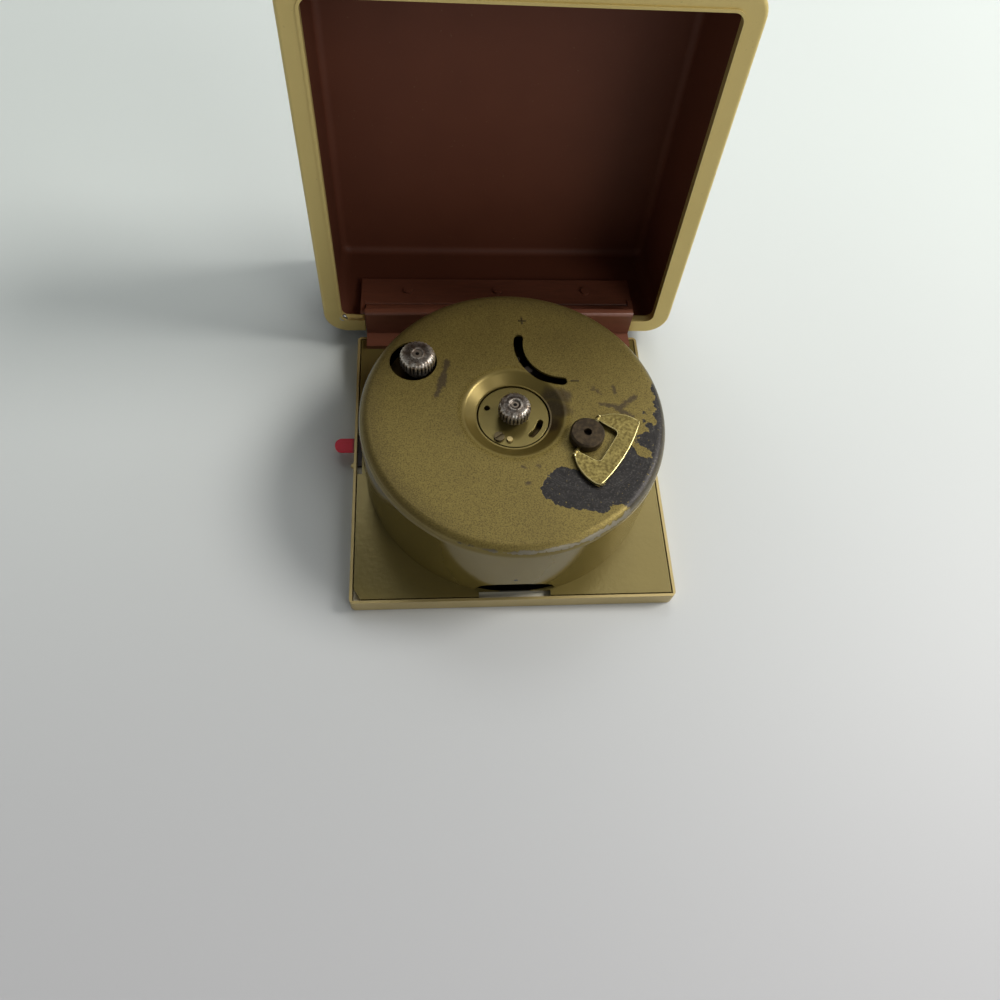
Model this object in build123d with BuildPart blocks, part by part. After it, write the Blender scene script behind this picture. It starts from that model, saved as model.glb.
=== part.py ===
import os
from math import atan2, cos, degrees, hypot, radians, sin, sqrt, tan

from build123d import *

# Folding wind-up alarm clock, lying dial down with its case standing open.
# The hand axis is Z through the origin, the dial side rests on Z = 0 and the hinge is towards +Y.

# Clearances, and how far a cut runs past the face it opens
seat_gap = 0.1
press_gap = 0.02
run_gap = 0.05
free_gap = 0.3
overrun = 2.0

# Bezel, which stands out past the can by a margin
can_radius = 28.6
plate_margin = 2.4
bezel_height = 3.8
bezel_wall = 0.55
bezel_flange = 0.5
bezel_corner = 1.0
bezel_shift = 1.2
bezel_edge = 0.2
window_border = 4.5
window_corner = 3.0

# Crystal, dial spacer and dial
crystal_thickness = 1.0
spacer_height = 1.05
spacer_width = 3.0
dial_thickness = 0.25

# Hands, whose lengths are shares of the window's width, set to a time of day
hand_thickness = 0.1
hand_gap = 0.2
minute_hand_share = 0.42
minute_hand_width = 1.5
minute_hand_angle = -36
hour_hand_share = 0.28
hour_hand_width = 2.0
hour_hand_angle = 214.5
alarm_hand_share = 0.22
alarm_hand_width = 1.0
alarm_hand_angle = 105
hand_tip_share = 0.45
hand_tail_share = 0.2
hand_hub_rim = 0.7

# Pipes that carry the hands, one inside the other
arbor_radius = 0.7
pipe_wall = 0.35

# Back plate with the collar that the can snaps on
plate_sheet = 0.6
plate_skirt = 0.6
plate_opening_inset = 6.1
collar_height = 1.5
collar_wall = 0.6
pry_width = 13.6
pry_depth = 1.3
corner_clip_width = 1.3
corner_clip_depth = 2.2
plate_notch_depth = 0.9
plate_gap = 0.25

# Movement can
can_height = 18.7
can_sheet = 0.5
can_edge = 1.9
recess_radius_share = 0.325
recess_slope = 2.1
recess_depth = 1.5
recess_round = 1.2
alarm_hole_radius = 4.5
alarm_hole_shift = 0.8
key_hole_radius = 1.9
pry_arch_width = 15.0
pry_arch_height = 4.8

# Alarm stop slide
tab_reach = 4.0
tab_width = 3.1
tab_place = 5.0
tab_travel = 5.5
tab_round = 1.4
slide_thickness = 0.55
slide_gap = 0.15
slide_rail_width = 2.0
slide_rail_length = 10.0

# Movement plates, feet, pillars and nuts, and the room above the plates
movement_gap = 2.2
movement_headroom = 3.5
movement_plate = 1.0
foot_height = 1.4
foot_width = 3.2
pillar_width = 3.0
pillar_inset = 2.1
pillar_angles = (15, 100, 185, 275)
nut_width = 2.8
nut_height = 0.9
end_shake = 0.1

# Teeth of all wheels, as shares of the module and of the pitch
tooth_tip_share = 0.13
tooth_root_share = 0.29
addendum_share = 0.6
dedendum_share = 0.8

# Motion work under the dial
motion_distance_share = 0.294
motion_angle = -100
cannon_teeth = 8
minute_teeth = 24
minute_pinion_teeth = 8
hour_teeth = 32
motion_disc = 0.4
motion_pinion = 0.6
cannon_level = 0.3
hour_level = 1.3
alarm_level = 2.2
motion_post_radius = 0.6

# Alarm setting
alarm_place_shares = (-0.619, 0.4055)
alarm_pinion_teeth = 16
alarm_wheel_teeth = 40
alarm_arbor_radius = 0.9

# Knobs
time_knob_radius = 3.0
time_knob_rise = 2.6
time_knob_height = 3.7
alarm_knob_radius = 3.35
alarm_knob_rise = 2.5
alarm_knob_height = 4.4
knurl_depth = 0.22
time_knurls = 26
alarm_knurls = 28
knob_land_height = 0.35
knob_land_step = 0.45
knob_dimple = 0.25

# Bush disc in the recess, with places that are shares of its radius
bush_radius_share = 0.231
bush_drop = 0.15
bush_screw_radius = 1.0
bush_screw_place_shares = (-0.44, -0.68)
bush_stud_radius = 0.55
bush_stud_place_shares = (-0.15, -0.77)
bush_stud_rise = 0.5
bush_peep_radius = 0.55
bush_peep_place_shares = (-0.74, 0.3)
bush_slot_radius_share = 0.77
bush_slot_width = 1.1
bush_slot_start = -52
bush_slot_sweep = 38

# Winding key, ratchet and click
key_place_shares = (0.451, -0.201)
key_hub_radius = 3.15
key_hub_height = 1.9
key_hub_lift = 0.2
key_hub_edge = 0.3
key_bore_radius = 0.75
key_bore_depth = 1.2
wing_angle = 56.5
wing_height = 7.0
wing_inner_half = 4.9
wing_outer_half = 8.0
wing_side_half = 7.1
wing_side_height = 2.4
wing_window_half = 3.8
wing_window_height = 4.6
wing_window_round = 0.9
wing_thickness = 0.8
wing_lift = 0.25
wing_pin_radius = 0.35
wing_pin_depth = 1.0
wing_end_radius = 0.5
wing_round = 1.2
wing_bulge = 0.9
barrel_arbor_radius = 1.25
ratchet_teeth = 12
ratchet_radius_share = 0.161
ratchet_tooth_height = 0.7
ratchet_thickness = 0.6
click_angle = -120
click_slant = 45
click_width = 0.5
click_bite = 0.2
click_length = 6.0
click_pad_radius = 1.3
click_screw_radius = 0.9

# Barrel and mainspring, with levels that are shares of the pillars' height
barrel_teeth = 48
centre_pinion_teeth = 8
barrel_lift_share = 0.085
barrel_height_share = 0.475
barrel_flange = 0.8
barrel_inset = 1.0
barrel_wall = 0.7
barrel_floor = 0.6
mainspring_pitch = 1.35
mainspring_strip = 0.4
mainspring_turns = 4

# Going train
centre_wheel_teeth = 40
third_pinion_teeth = 8
third_wheel_teeth = 40
escape_pinion_teeth = 8
escape_teeth = 15
centre_wheel_radius_share = 0.28
third_wheel_radius_share = 0.245
escape_place_shares = (-0.161, 0.4965)
escape_radius_share = 0.157
escape_tooth_height = 1.0
escape_lean_share = 0.35
wheel_disc = 0.5
pinion_reach = 0.6
train_arbor_radius = 0.6
centre_wheel_level_share = 0.66
third_wheel_level_share = 0.39
escape_level_share = 0.525

# Escapement
balance_place_shares = (0.353, 0.535)
balance_radius_share = 0.258
balance_rim = 1.1
balance_height = 0.8
balance_level_share = 0.745
balance_arm_width = 1.2
roller_radius = 1.6
roller_height = 0.8
pallet_distance_share = 0.224
pallet_level_share = 0.61
pallet_thickness = 0.5
pallet_hub_radius = 1.0
pallet_arm_width = 0.8
pallet_pin_radius = 0.2
pallet_pin_angle = 33
pallet_pin_gap = 0.25
pallet_pin_drop = 1.2
fork_width = 0.9
fork_gap = 0.3
hairspring_inner_radius = 1.5
hairspring_pitch = 0.9
hairspring_strip = 0.16
hairspring_height = 0.4
hairspring_turns = 3
hairspring_drop = 1.2
collet_radius = 1.1
stud_radius = 0.6

# Regulator index and its slot in the can
slot_radius_share = 0.294
slot_width = 1.8
slot_start = 168
slot_sweep = 99
index_ring = 1.2
index_boss_radius = 1.5
index_thickness = 0.5
index_arm_width = 1.5
index_tail = 1.0

# Alarm hammer, on a line from the hand axis to the wall of the can
hammer_place_share = 0.63
hammer_angle = 222
hammer_head_radius = 1.7
hammer_head_height = 3.0
hammer_arm_width = 1.0
hammer_arm_height = 0.8
hammer_level_share = 0.425

# Case shell, rim and hinge
case_side_margin = 7.0
case_end_margin = 6.25
case_depth = 25.0
case_corner = 5.0
case_wall = 2.0
case_draft = 2.0
case_back_round = 3.0
case_inner_round = 1.6
case_lean = 4.4
rim_width = 3.8
rim_thickness = 1.4
rim_corner = 1.8
rim_round = 0.7
rim_bead = 0.5
rim_bead_height = 0.3
rim_lip = 0.7
rim_lip_depth = 1.2
pin_from_edge = 3.2
pin_behind_face = 2.6
hinge_behind_bezel = 4.5
hinge_above_plate = 2.75
pin_radius = 0.6
leaf_inset = 2.0
leaf_foot_height = 1.0
leaf_thickness = 1.9
leaf_behind_bezel = 0.4
leaf_rise = 7.3
leaf_round = 0.6
leaf_web_half = 1.5
barrel_round = 1.9
bracket_ear = 1.0
bracket_ear_radius = 1.0
bracket_reach = 8.0
bracket_round = 0.4
fastener_radius = 1.0
fastener_height = 0.5
rivet_spacing_share = 0.225
rivet_count = 4
screw_spacing_share = 0.345
screw_count = 3

# Sizes that follow the can and the bezel
bezel_width = 2 * (can_radius + plate_margin)
window_width = bezel_width - 2 * window_border
minute_hand_length = window_width * minute_hand_share
hour_hand_length = window_width * hour_hand_share
alarm_hand_length = window_width * alarm_hand_share
plate_opening_radius = can_radius - plate_opening_inset
recess_radius = can_radius * recess_radius_share
recess_floor_radius = recess_radius - recess_slope
bush_radius = can_radius * bush_radius_share
bush_hole_radius = bush_radius + free_gap
movement_radius = can_radius - movement_gap
pillar_circle = movement_radius - pillar_inset
pillar_height = can_height - foot_height - 2 * movement_plate - movement_headroom
leaf_length = bezel_width - 2 * leaf_inset
case_width = bezel_width + 2 * case_side_margin
case_height = bezel_width + 2 * case_end_margin


def placed(shares, size):
    return (shares[0] * size, shares[1] * size)


# Places and sizes of the movement, which follow the can, and levels that follow the pillars
alarm_place = placed(alarm_place_shares, can_radius)
key_place = placed(key_place_shares, can_radius)
balance_place = placed(balance_place_shares, can_radius)
escape_place = placed(escape_place_shares, can_radius)
bush_screw_place = placed(bush_screw_place_shares, bush_radius)
bush_stud_place = placed(bush_stud_place_shares, bush_radius)
bush_peep_place = placed(bush_peep_place_shares, bush_radius)
bush_slot_radius = bush_radius * bush_slot_radius_share
motion_distance = can_radius * motion_distance_share
slot_radius = can_radius * slot_radius_share
ratchet_radius = can_radius * ratchet_radius_share
ratchet_root = ratchet_radius - ratchet_tooth_height
centre_wheel_pitch_radius = can_radius * centre_wheel_radius_share
third_wheel_pitch_radius = can_radius * third_wheel_radius_share
escape_radius = can_radius * escape_radius_share
escape_root = escape_radius - escape_tooth_height
balance_radius = can_radius * balance_radius_share
pallet_distance = can_radius * pallet_distance_share
hammer_distance = can_radius * hammer_place_share
hammer_reach = can_radius - can_sheet - seat_gap - hammer_head_radius - hammer_distance
barrel_lift = pillar_height * barrel_lift_share
barrel_height = pillar_height * barrel_height_share
centre_wheel_level = pillar_height * centre_wheel_level_share
third_wheel_level = pillar_height * third_wheel_level_share
escape_level = pillar_height * escape_level_share
balance_level = pillar_height * balance_level_share
pallet_level = pillar_height * pallet_level_share
hammer_level = pillar_height * hammer_level_share

# Levels worked out from the stack, counted up from the face that lies on the table
crystal_back = crystal_thickness
dial_front = crystal_back + spacer_height
dial_back = dial_front + dial_thickness
plate_top = bezel_height
plate_under = plate_top - plate_sheet
slide_low = dial_back + slide_gap
can_top = plate_top + can_height
front_plate_low = plate_top + foot_height
front_plate_high = front_plate_low + movement_plate
rear_plate_low = front_plate_high + pillar_height
rear_plate_high = rear_plate_low + movement_plate
alarm_hand_low = dial_front - hand_gap - hand_thickness
hour_hand_low = alarm_hand_low - hand_gap - hand_thickness
minute_hand_low = hour_hand_low - hand_gap - hand_thickness
cannon_high = front_plate_low - cannon_level
hour_high = front_plate_low - hour_level
alarm_high = front_plate_low - alarm_level

# Places worked out from the bezel and the wheels
inside_width = bezel_width - 2 * bezel_wall
drop_in_width = inside_width - 2 * seat_gap
plate_width = inside_width - 2 * plate_gap
bezel_rear = bezel_shift + bezel_width / 2
bezel_front = bezel_shift - bezel_width / 2
hinge_y = bezel_rear + hinge_behind_bezel
hinge_z = plate_top + hinge_above_plate
motion_place = (motion_distance * cos(radians(motion_angle)), motion_distance * sin(radians(motion_angle)))
cannon_pipe = arbor_radius + press_gap + pipe_wall
hour_pipe = cannon_pipe + run_gap + pipe_wall
alarm_pipe = hour_pipe + run_gap + pipe_wall
lean = radians(case_lean)
case_frame = Plane(origin=(0, hinge_y, hinge_z), x_dir=(1, 0, 0), z_dir=(0, -cos(lean), sin(lean)))
case_axis = Axis(case_frame.origin, case_frame.z_dir)
case_middle = case_height / 2 - pin_from_edge
hinge_slot = leaf_length + 2 * free_gap
bracket_width = hinge_slot + 2 * bracket_ear
bracket_high = rim_width - pin_from_edge
barrel_room = barrel_round + free_gap

os.makedirs("parts", exist_ok=True)


def save(piece, name):
    piece.part.label = name
    export_step(piece.part, f"parts/{name}.step")


def bearing(start, end):
    return degrees(atan2(end[1] - start[1], end[0] - start[0]))


def distance(start, end):
    return hypot(end[0] - start[0], end[1] - start[1])


def polar(place, radius, angle):
    return (place[0] + radius * cos(radians(angle)), place[1] + radius * sin(radians(angle)))


def meeting(start, start_radius, end, end_radius):
    # The crossing, left of the line from start to end, of two circles
    span = distance(start, end)
    along = (start_radius**2 - end_radius**2 + span**2) / (2 * span)
    aside = degrees(atan2(sqrt(start_radius**2 - along**2), along))
    return polar(start, start_radius, bearing(start, end) + aside)


def band(place, radius, low, high, mode=Mode.ADD):
    with BuildSketch(Plane.XY.offset(low)) as disc:
        with Locations(place):
            Circle(radius)
    extrude(disc.sketch, amount=high - low, mode=mode)


def tube(place, inner, outer, low, high):
    with BuildSketch(Plane.XY.offset(low)) as ring:
        with Locations(place):
            Circle(outer)
            Circle(inner, mode=Mode.SUBTRACT)
    extrude(ring.sketch, amount=high - low)


def outline(points, low, high):
    with BuildSketch(Plane.XY.offset(low)) as profile:
        with BuildLine():
            Polyline(*points, close=True)
        make_face()
    extrude(profile.sketch, amount=high - low)


def square(width, low, high, corner=0, mode=Mode.ADD):
    # A square on the bezel's centre, which lies off the hand axis
    with BuildSketch(Plane.XY.offset(low)) as profile:
        with Locations((0, bezel_shift)):
            if corner:
                RectangleRounded(width, width, corner)
            else:
                Rectangle(width, width)
    extrude(profile.sketch, amount=high - low, mode=mode)


def gear(place, teeth, pitch_radius, turn, low, high):
    # Straight-sided teeth, the first one centred on the angle turn
    pitch = 360 / teeth
    module = 2 * pitch_radius / teeth
    tip = pitch_radius + addendum_share * module
    root = pitch_radius - dedendum_share * module
    points = []
    for tooth in range(teeth):
        middle = turn + tooth * pitch
        points.append(polar(place, root, middle - tooth_root_share * pitch))
        points.append(polar(place, tip, middle - tooth_tip_share * pitch))
        points.append(polar(place, tip, middle + tooth_tip_share * pitch))
        points.append(polar(place, root, middle + tooth_root_share * pitch))
    outline(points, low, high)


def gap_turn(place, other, teeth):
    # The turn that puts the gap between two teeth towards the other wheel
    return bearing(place, other) + 180 / teeth


def hexagons(places, width, low, high):
    with BuildSketch(Plane.XY.offset(low)) as profile:
        with Locations(*places):
            RegularPolygon(width / 2, 6, major_radius=False)
    extrude(profile.sketch, amount=high - low)


def train_arbor(place):
    # A plain arbor that runs in both plates
    band(place, train_arbor_radius, front_plate_low, rear_plate_high)


def knob(place, radius, knurls, low, high, bore):
    points = []
    for step in range(2 * knurls):
        depth = knurl_depth if step % 2 else 0
        points.append(polar(place, radius - depth, step * 180 / knurls))
    outline(points, low, high - knob_land_height)
    band(place, radius - knob_land_step, high - knob_land_height, high)
    band(place, bore, low - overrun, high + overrun, mode=Mode.SUBTRACT)


def spiral(place, inner, pitch, strip, turns, low, high):
    # A flat strip wound on half turns about two centres half a pitch apart
    centres = (place, (place[0] + pitch / 2, place[1]))
    with BuildSketch(Plane.XY.offset(low)) as winding:
        with BuildLine():
            for side in (-strip / 2, strip / 2):
                for half in range(2 * turns):
                    CenterArc(centres[half % 2], inner + half * pitch / 2 + side, 180 * (half % 2), 180)
            for radius in (inner, inner + turns * pitch):
                Line((place[0] + radius - strip / 2, place[1]), (place[0] + radius + strip / 2, place[1]))
        make_face()
    extrude(winding.sketch, amount=high - low)


def hand(length, width, low, bore, angle):
    # A tapered baton with a short tail, on a round hub
    hub = bore + hand_hub_rim
    tail = length * hand_tail_share
    tip = width * hand_tip_share / 2
    points = [(-tail, -width / 2), (length * (1 - hand_tail_share), -width / 2), (length, -tip)]
    points += [(x, -y) for x, y in reversed(points)]
    with BuildSketch(Plane.XY.offset(low)) as baton:
        with Locations(Rotation(0, 0, angle)):
            Polygon(*points, align=None)
        Circle(hub)
        Circle(bore, mode=Mode.SUBTRACT)
    extrude(baton.sketch, amount=hand_thickness)


# Bezel: a shallow square tray with a window, and a slot at one side for the alarm stop
with BuildPart() as bezel:
    square(bezel_width, 0, bezel_height, bezel_corner)
    chamfer(bezel.faces().sort_by(Axis.Z)[0].edges(), bezel_edge)
    square(inside_width, bezel_flange, bezel_height + overrun, mode=Mode.SUBTRACT)
    square(window_width, -overrun, bezel_flange + overrun, window_corner, mode=Mode.SUBTRACT)
    with BuildSketch(Plane.XY.offset(slide_low - slide_gap)):
        with Locations((-bezel_width / 2, tab_place - tab_travel / 2)):
            Rectangle(2 * overrun, tab_width + tab_travel + 2 * free_gap)
    extrude(amount=slide_thickness + 2 * slide_gap, mode=Mode.SUBTRACT)
save(bezel, "bezel")

# Crystal: clear plate, flush with the bezel in the window and stepped behind its flange
with BuildPart() as crystal:
    square(drop_in_width, bezel_flange, crystal_back)
    square(window_width - 2 * seat_gap, 0, bezel_flange, window_corner)
save(crystal, "crystal")

# Dial spacer: a square frame between the crystal and the dial
with BuildPart() as dial_spacer:
    square(drop_in_width, crystal_back, dial_front)
    square(drop_in_width - 2 * spacer_width, crystal_back, dial_front, window_corner, mode=Mode.SUBTRACT)
save(dial_spacer, "dial_spacer")

# Dial
with BuildPart() as dial:
    square(drop_in_width, dial_front, dial_back)
    band((0, 0), alarm_pipe + free_gap, dial_front, dial_back, mode=Mode.SUBTRACT)
save(dial, "dial")

# Back plate: a pan with a round opening, and a collar inside the foot of the can
collar_radius = can_radius - can_sheet - seat_gap
with BuildPart() as back_plate:
    square(plate_width, dial_back, plate_top)
    square(plate_width - 2 * plate_skirt, dial_back, plate_under, mode=Mode.SUBTRACT)
    band((0, 0), collar_radius, plate_under, plate_top + collar_height)
    band((0, 0), collar_radius - collar_wall, plate_top, plate_top + collar_height, mode=Mode.SUBTRACT)
    band((0, 0), plate_opening_radius, plate_under, plate_top, mode=Mode.SUBTRACT)
    with BuildSketch(Plane.XY.offset(dial_back)):
        with Locations((0, bezel_front)):
            Rectangle(pry_width, 2 * (pry_depth + bezel_wall))
        with Locations((-plate_width / 2, tab_place - tab_travel / 2)):
            Rectangle(2 * plate_notch_depth, tab_width + tab_travel + 2 * free_gap)
        with BuildLine():
            corner = (-plate_width / 2, bezel_shift - plate_width / 2)
            Polyline(
                corner,
                (corner[0] + corner_clip_width, corner[1]),
                (corner[0], corner[1] + corner_clip_depth),
                close=True,
            )
        make_face()
    extrude(amount=plate_top + collar_height - dial_back, mode=Mode.SUBTRACT)
    with BuildSketch(Plane.XY.offset(plate_top)):
        with Locations((0, -can_radius)):
            Rectangle(pry_arch_width, 10 * can_sheet)
    extrude(amount=collar_height, mode=Mode.SUBTRACT)
    with BuildSketch(Plane.XY.offset(dial_back)):
        with Locations((-plate_width / 2, tab_place - tab_travel / 2)):
            Rectangle(4 * plate_skirt, slide_rail_length + tab_travel + 2 * overrun)
    extrude(amount=plate_under - dial_back, mode=Mode.SUBTRACT)
save(back_plate, "back_plate")

# Movement can: a drawn cup with a dished recess, four openings in its top and an arch in its foot to pry it off
recess_bottom = can_top - recess_depth
with BuildPart() as movement_can:
    with BuildSketch(Plane.XZ):
        with BuildLine():
            Polyline((can_radius - can_sheet, plate_top), (can_radius, plate_top), (can_radius, can_top - can_edge))
            CenterArc((can_radius - can_edge, can_top - can_edge), can_edge, 0, 90)
            Polyline(
                (can_radius - can_edge, can_top),
                (recess_radius, can_top),
                (recess_floor_radius, recess_bottom),
                (bush_hole_radius, recess_bottom),
                (bush_hole_radius, recess_bottom - can_sheet),
                (recess_floor_radius + can_sheet / 2, recess_bottom - can_sheet),
                (recess_radius + can_sheet / 2, can_top - can_sheet),
                (can_radius - can_edge, can_top - can_sheet),
            )
            CenterArc((can_radius - can_edge, can_top - can_edge), can_edge - can_sheet, 0, 90)
            Line((can_radius - can_sheet, can_top - can_edge), (can_radius - can_sheet, plate_top))
        make_face()
    revolve(axis=Axis.Z)
    rings = movement_can.edges().filter_by(GeomType.CIRCLE).group_by(Axis.Z)[-1]
    fillet(rings.sort_by(SortBy.RADIUS)[0], recess_round)
    alarm_hole = (alarm_place[0] - alarm_hole_shift, alarm_place[1])
    band(alarm_hole, alarm_hole_radius, can_top - can_edge, can_top + overrun, mode=Mode.SUBTRACT)
    band(key_place, key_hole_radius, can_top - can_edge, can_top + overrun, mode=Mode.SUBTRACT)
    with BuildSketch(Plane.XY.offset(can_top - can_edge)):
        SlotArc(CenterArc(balance_place, slot_radius, slot_start, slot_sweep), slot_width)
    extrude(amount=can_edge + overrun, mode=Mode.SUBTRACT)
    with BuildSketch(Plane(origin=(0, -can_radius, plate_top), x_dir=(1, 0, 0), z_dir=(0, -1, 0))):
        Ellipse(pry_arch_width / 2, pry_arch_height)
    extrude(amount=5 * can_sheet, both=True, mode=Mode.SUBTRACT)
save(movement_can, "movement_can")

# Alarm stop: a red tab on a rail that runs between the dial and the back plate
with BuildPart() as alarm_stop_slide:
    rail_edge = -inside_width / 2 + seat_gap
    with BuildSketch(Plane.XY.offset(slide_low)):
        with Locations((rail_edge + slide_rail_width / 2, tab_place)):
            Rectangle(slide_rail_width, slide_rail_length)
        tab_end = -bezel_width / 2 - tab_reach
        with Locations(((tab_end + rail_edge + slide_rail_width) / 2, tab_place)):
            Rectangle(rail_edge + slide_rail_width - tab_end, tab_width)
    extrude(amount=slide_thickness)
    tab_corners = alarm_stop_slide.edges().filter_by(Axis.Z).group_by(Axis.X)[0]
    fillet(tab_corners, tab_round)
save(alarm_stop_slide, "alarm_stop_slide")

# Front movement plate, with the post of the minute wheel
third_pinion_radius = centre_wheel_pitch_radius * third_pinion_teeth / centre_wheel_teeth
escape_pinion_radius = third_wheel_pitch_radius * escape_pinion_teeth / third_wheel_teeth
third_place = meeting(
    (0, 0),
    centre_wheel_pitch_radius + third_pinion_radius,
    escape_place,
    third_wheel_pitch_radius + escape_pinion_radius,
)
pallet_bearing = bearing(escape_place, balance_place)
pallet_place = polar(escape_place, pallet_distance, pallet_bearing)
pillar_places = [polar((0, 0), pillar_circle, angle) for angle in pillar_angles]
hammer_place = polar((0, 0), hammer_distance, hammer_angle)
pivot_places = [third_place, escape_place, pallet_place, balance_place, hammer_place]
with BuildPart() as front_movement_plate:
    band((0, 0), movement_radius, front_plate_low, front_plate_high)
    band(motion_place, motion_post_radius, alarm_high + free_gap, front_plate_low)
    for place in pivot_places:
        band(place, train_arbor_radius + run_gap, front_plate_low, front_plate_high, mode=Mode.SUBTRACT)
    band((0, 0), arbor_radius + run_gap, front_plate_low, front_plate_high, mode=Mode.SUBTRACT)
    band(alarm_place, alarm_arbor_radius + run_gap, front_plate_low, front_plate_high, mode=Mode.SUBTRACT)
    band(key_place, barrel_arbor_radius + run_gap, front_plate_low, front_plate_high, mode=Mode.SUBTRACT)
save(front_movement_plate, "front_movement_plate")

# Rear movement plate, with the boss of the regulator index
with BuildPart() as rear_movement_plate:
    band((0, 0), movement_radius, rear_plate_low, rear_plate_high)
    band(balance_place, index_boss_radius, rear_plate_high, rear_plate_high + index_thickness + free_gap)
    for place in pivot_places:
        high = rear_plate_high + index_thickness + free_gap
        band(place, train_arbor_radius + run_gap, rear_plate_low, high, mode=Mode.SUBTRACT)
    band((0, 0), arbor_radius + run_gap, rear_plate_low, rear_plate_high, mode=Mode.SUBTRACT)
    band(alarm_place, alarm_arbor_radius + run_gap, rear_plate_low, rear_plate_high, mode=Mode.SUBTRACT)
    band(key_place, barrel_arbor_radius + run_gap, rear_plate_low, rear_plate_high, mode=Mode.SUBTRACT)
save(rear_movement_plate, "rear_movement_plate")

# Feet under the front plate, pillars between the plates and nuts on top, all hexagonal
with BuildPart() as movement_feet:
    hexagons(pillar_places, foot_width, plate_top, front_plate_low)
save(movement_feet, "movement_feet")

with BuildPart() as pillars:
    hexagons(pillar_places, pillar_width, front_plate_high, rear_plate_low)
save(pillars, "pillars")

with BuildPart() as pillar_nuts:
    hexagons(pillar_places, nut_width, rear_plate_high, rear_plate_high + nut_height)
save(pillar_nuts, "pillar_nuts")

# Bush disc: the brass disc that shows in the recess of the can
bush_top = recess_bottom - bush_drop
with BuildPart() as bush_disc:
    band((0, 0), bush_radius, rear_plate_high, bush_top)
    band((0, 0), arbor_radius + run_gap, rear_plate_high, bush_top, mode=Mode.SUBTRACT)
    band(bush_peep_place, bush_peep_radius, rear_plate_high, bush_top, mode=Mode.SUBTRACT)
    band(bush_screw_place, bush_stud_radius, rear_plate_high, bush_top, mode=Mode.SUBTRACT)
    band(bush_stud_place, bush_stud_radius, rear_plate_high, bush_top, mode=Mode.SUBTRACT)
    with BuildSketch(Plane.XY.offset(rear_plate_high)):
        SlotArc(CenterArc((0, 0), bush_slot_radius, bush_slot_start, bush_slot_sweep), bush_slot_width)
    extrude(amount=bush_top - rear_plate_high, mode=Mode.SUBTRACT)
save(bush_disc, "bush_disc")

with BuildPart() as bush_screw:
    band(bush_screw_place, bush_stud_radius - press_gap, rear_plate_high, bush_top)
    band(bush_screw_place, bush_screw_radius, bush_top, bush_top + bush_stud_rise)
save(bush_screw, "bush_screw")

with BuildPart() as bush_stud:
    band(bush_stud_place, bush_stud_radius - press_gap, rear_plate_high, bush_top + bush_stud_rise)
save(bush_stud, "bush_stud")

# Centre arbor with its knob, cannon pinion and minute hand
time_knob_high = can_top + time_knob_rise
with BuildPart() as centre_arbor:
    band((0, 0), arbor_radius, minute_hand_low, time_knob_high - knob_dimple)
save(centre_arbor, "centre_arbor")

with BuildPart() as time_set_knob:
    low = time_knob_high - time_knob_height
    knob((0, 0), time_knob_radius, time_knurls, low, time_knob_high, arbor_radius + press_gap)
save(time_set_knob, "time_set_knob")

cannon_pitch_radius = motion_distance * cannon_teeth / (cannon_teeth + minute_teeth)
with BuildPart() as cannon_pinion:
    band((0, 0), cannon_pipe, minute_hand_low, cannon_high)
    turn = bearing((0, 0), motion_place)
    gear((0, 0), cannon_teeth, cannon_pitch_radius, turn, cannon_high - motion_pinion, cannon_high)
    band((0, 0), arbor_radius + press_gap, minute_hand_low, cannon_high, mode=Mode.SUBTRACT)
save(cannon_pinion, "cannon_pinion")

with BuildPart() as minute_hand:
    hand(minute_hand_length, minute_hand_width, minute_hand_low, cannon_pipe + press_gap, minute_hand_angle)
save(minute_hand, "minute_hand")

# Minute wheel on its post, meshing with the cannon pinion and the hour wheel
minute_pitch_radius = motion_distance - cannon_pitch_radius
minute_pinion_radius = motion_distance * minute_pinion_teeth / (minute_pinion_teeth + hour_teeth)
with BuildPart() as minute_wheel:
    high = cannon_high - (motion_pinion - motion_disc) / 2
    turn = gap_turn(motion_place, (0, 0), minute_teeth)
    gear(motion_place, minute_teeth, minute_pitch_radius, turn, high - motion_disc, high)
    turn = bearing(motion_place, (0, 0))
    low = hour_high - (motion_pinion + motion_disc) / 2
    gear(motion_place, minute_pinion_teeth, minute_pinion_radius, turn, low, high - motion_disc)
    band(motion_place, motion_post_radius + run_gap, low, high, mode=Mode.SUBTRACT)
save(minute_wheel, "minute_wheel")

# Hour wheel on its pipe, with the hour hand
with BuildPart() as hour_wheel:
    band((0, 0), hour_pipe, hour_hand_low, hour_high)
    turn = gap_turn((0, 0), motion_place, hour_teeth)
    gear((0, 0), hour_teeth, motion_distance - minute_pinion_radius, turn, hour_high - motion_disc, hour_high)
    band((0, 0), cannon_pipe + run_gap, hour_hand_low, hour_high, mode=Mode.SUBTRACT)
save(hour_wheel, "hour_wheel")

with BuildPart() as hour_hand:
    hand(hour_hand_length, hour_hand_width, hour_hand_low, hour_pipe + press_gap, hour_hand_angle)
save(hour_hand, "hour_hand")

# Alarm wheel on its pipe, with the alarm hand, and the arbor and knob that set it
alarm_distance = distance((0, 0), alarm_place)
alarm_pinion_radius = alarm_distance * alarm_pinion_teeth / (alarm_pinion_teeth + alarm_wheel_teeth)
alarm_wheel_radius = alarm_distance - alarm_pinion_radius
with BuildPart() as alarm_wheel:
    band((0, 0), alarm_pipe, alarm_hand_low, alarm_high)
    turn = gap_turn((0, 0), alarm_place, alarm_wheel_teeth)
    gear((0, 0), alarm_wheel_teeth, alarm_wheel_radius, turn, alarm_high - motion_disc, alarm_high)
    band((0, 0), hour_pipe + run_gap, alarm_hand_low, alarm_high, mode=Mode.SUBTRACT)
save(alarm_wheel, "alarm_wheel")

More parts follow.
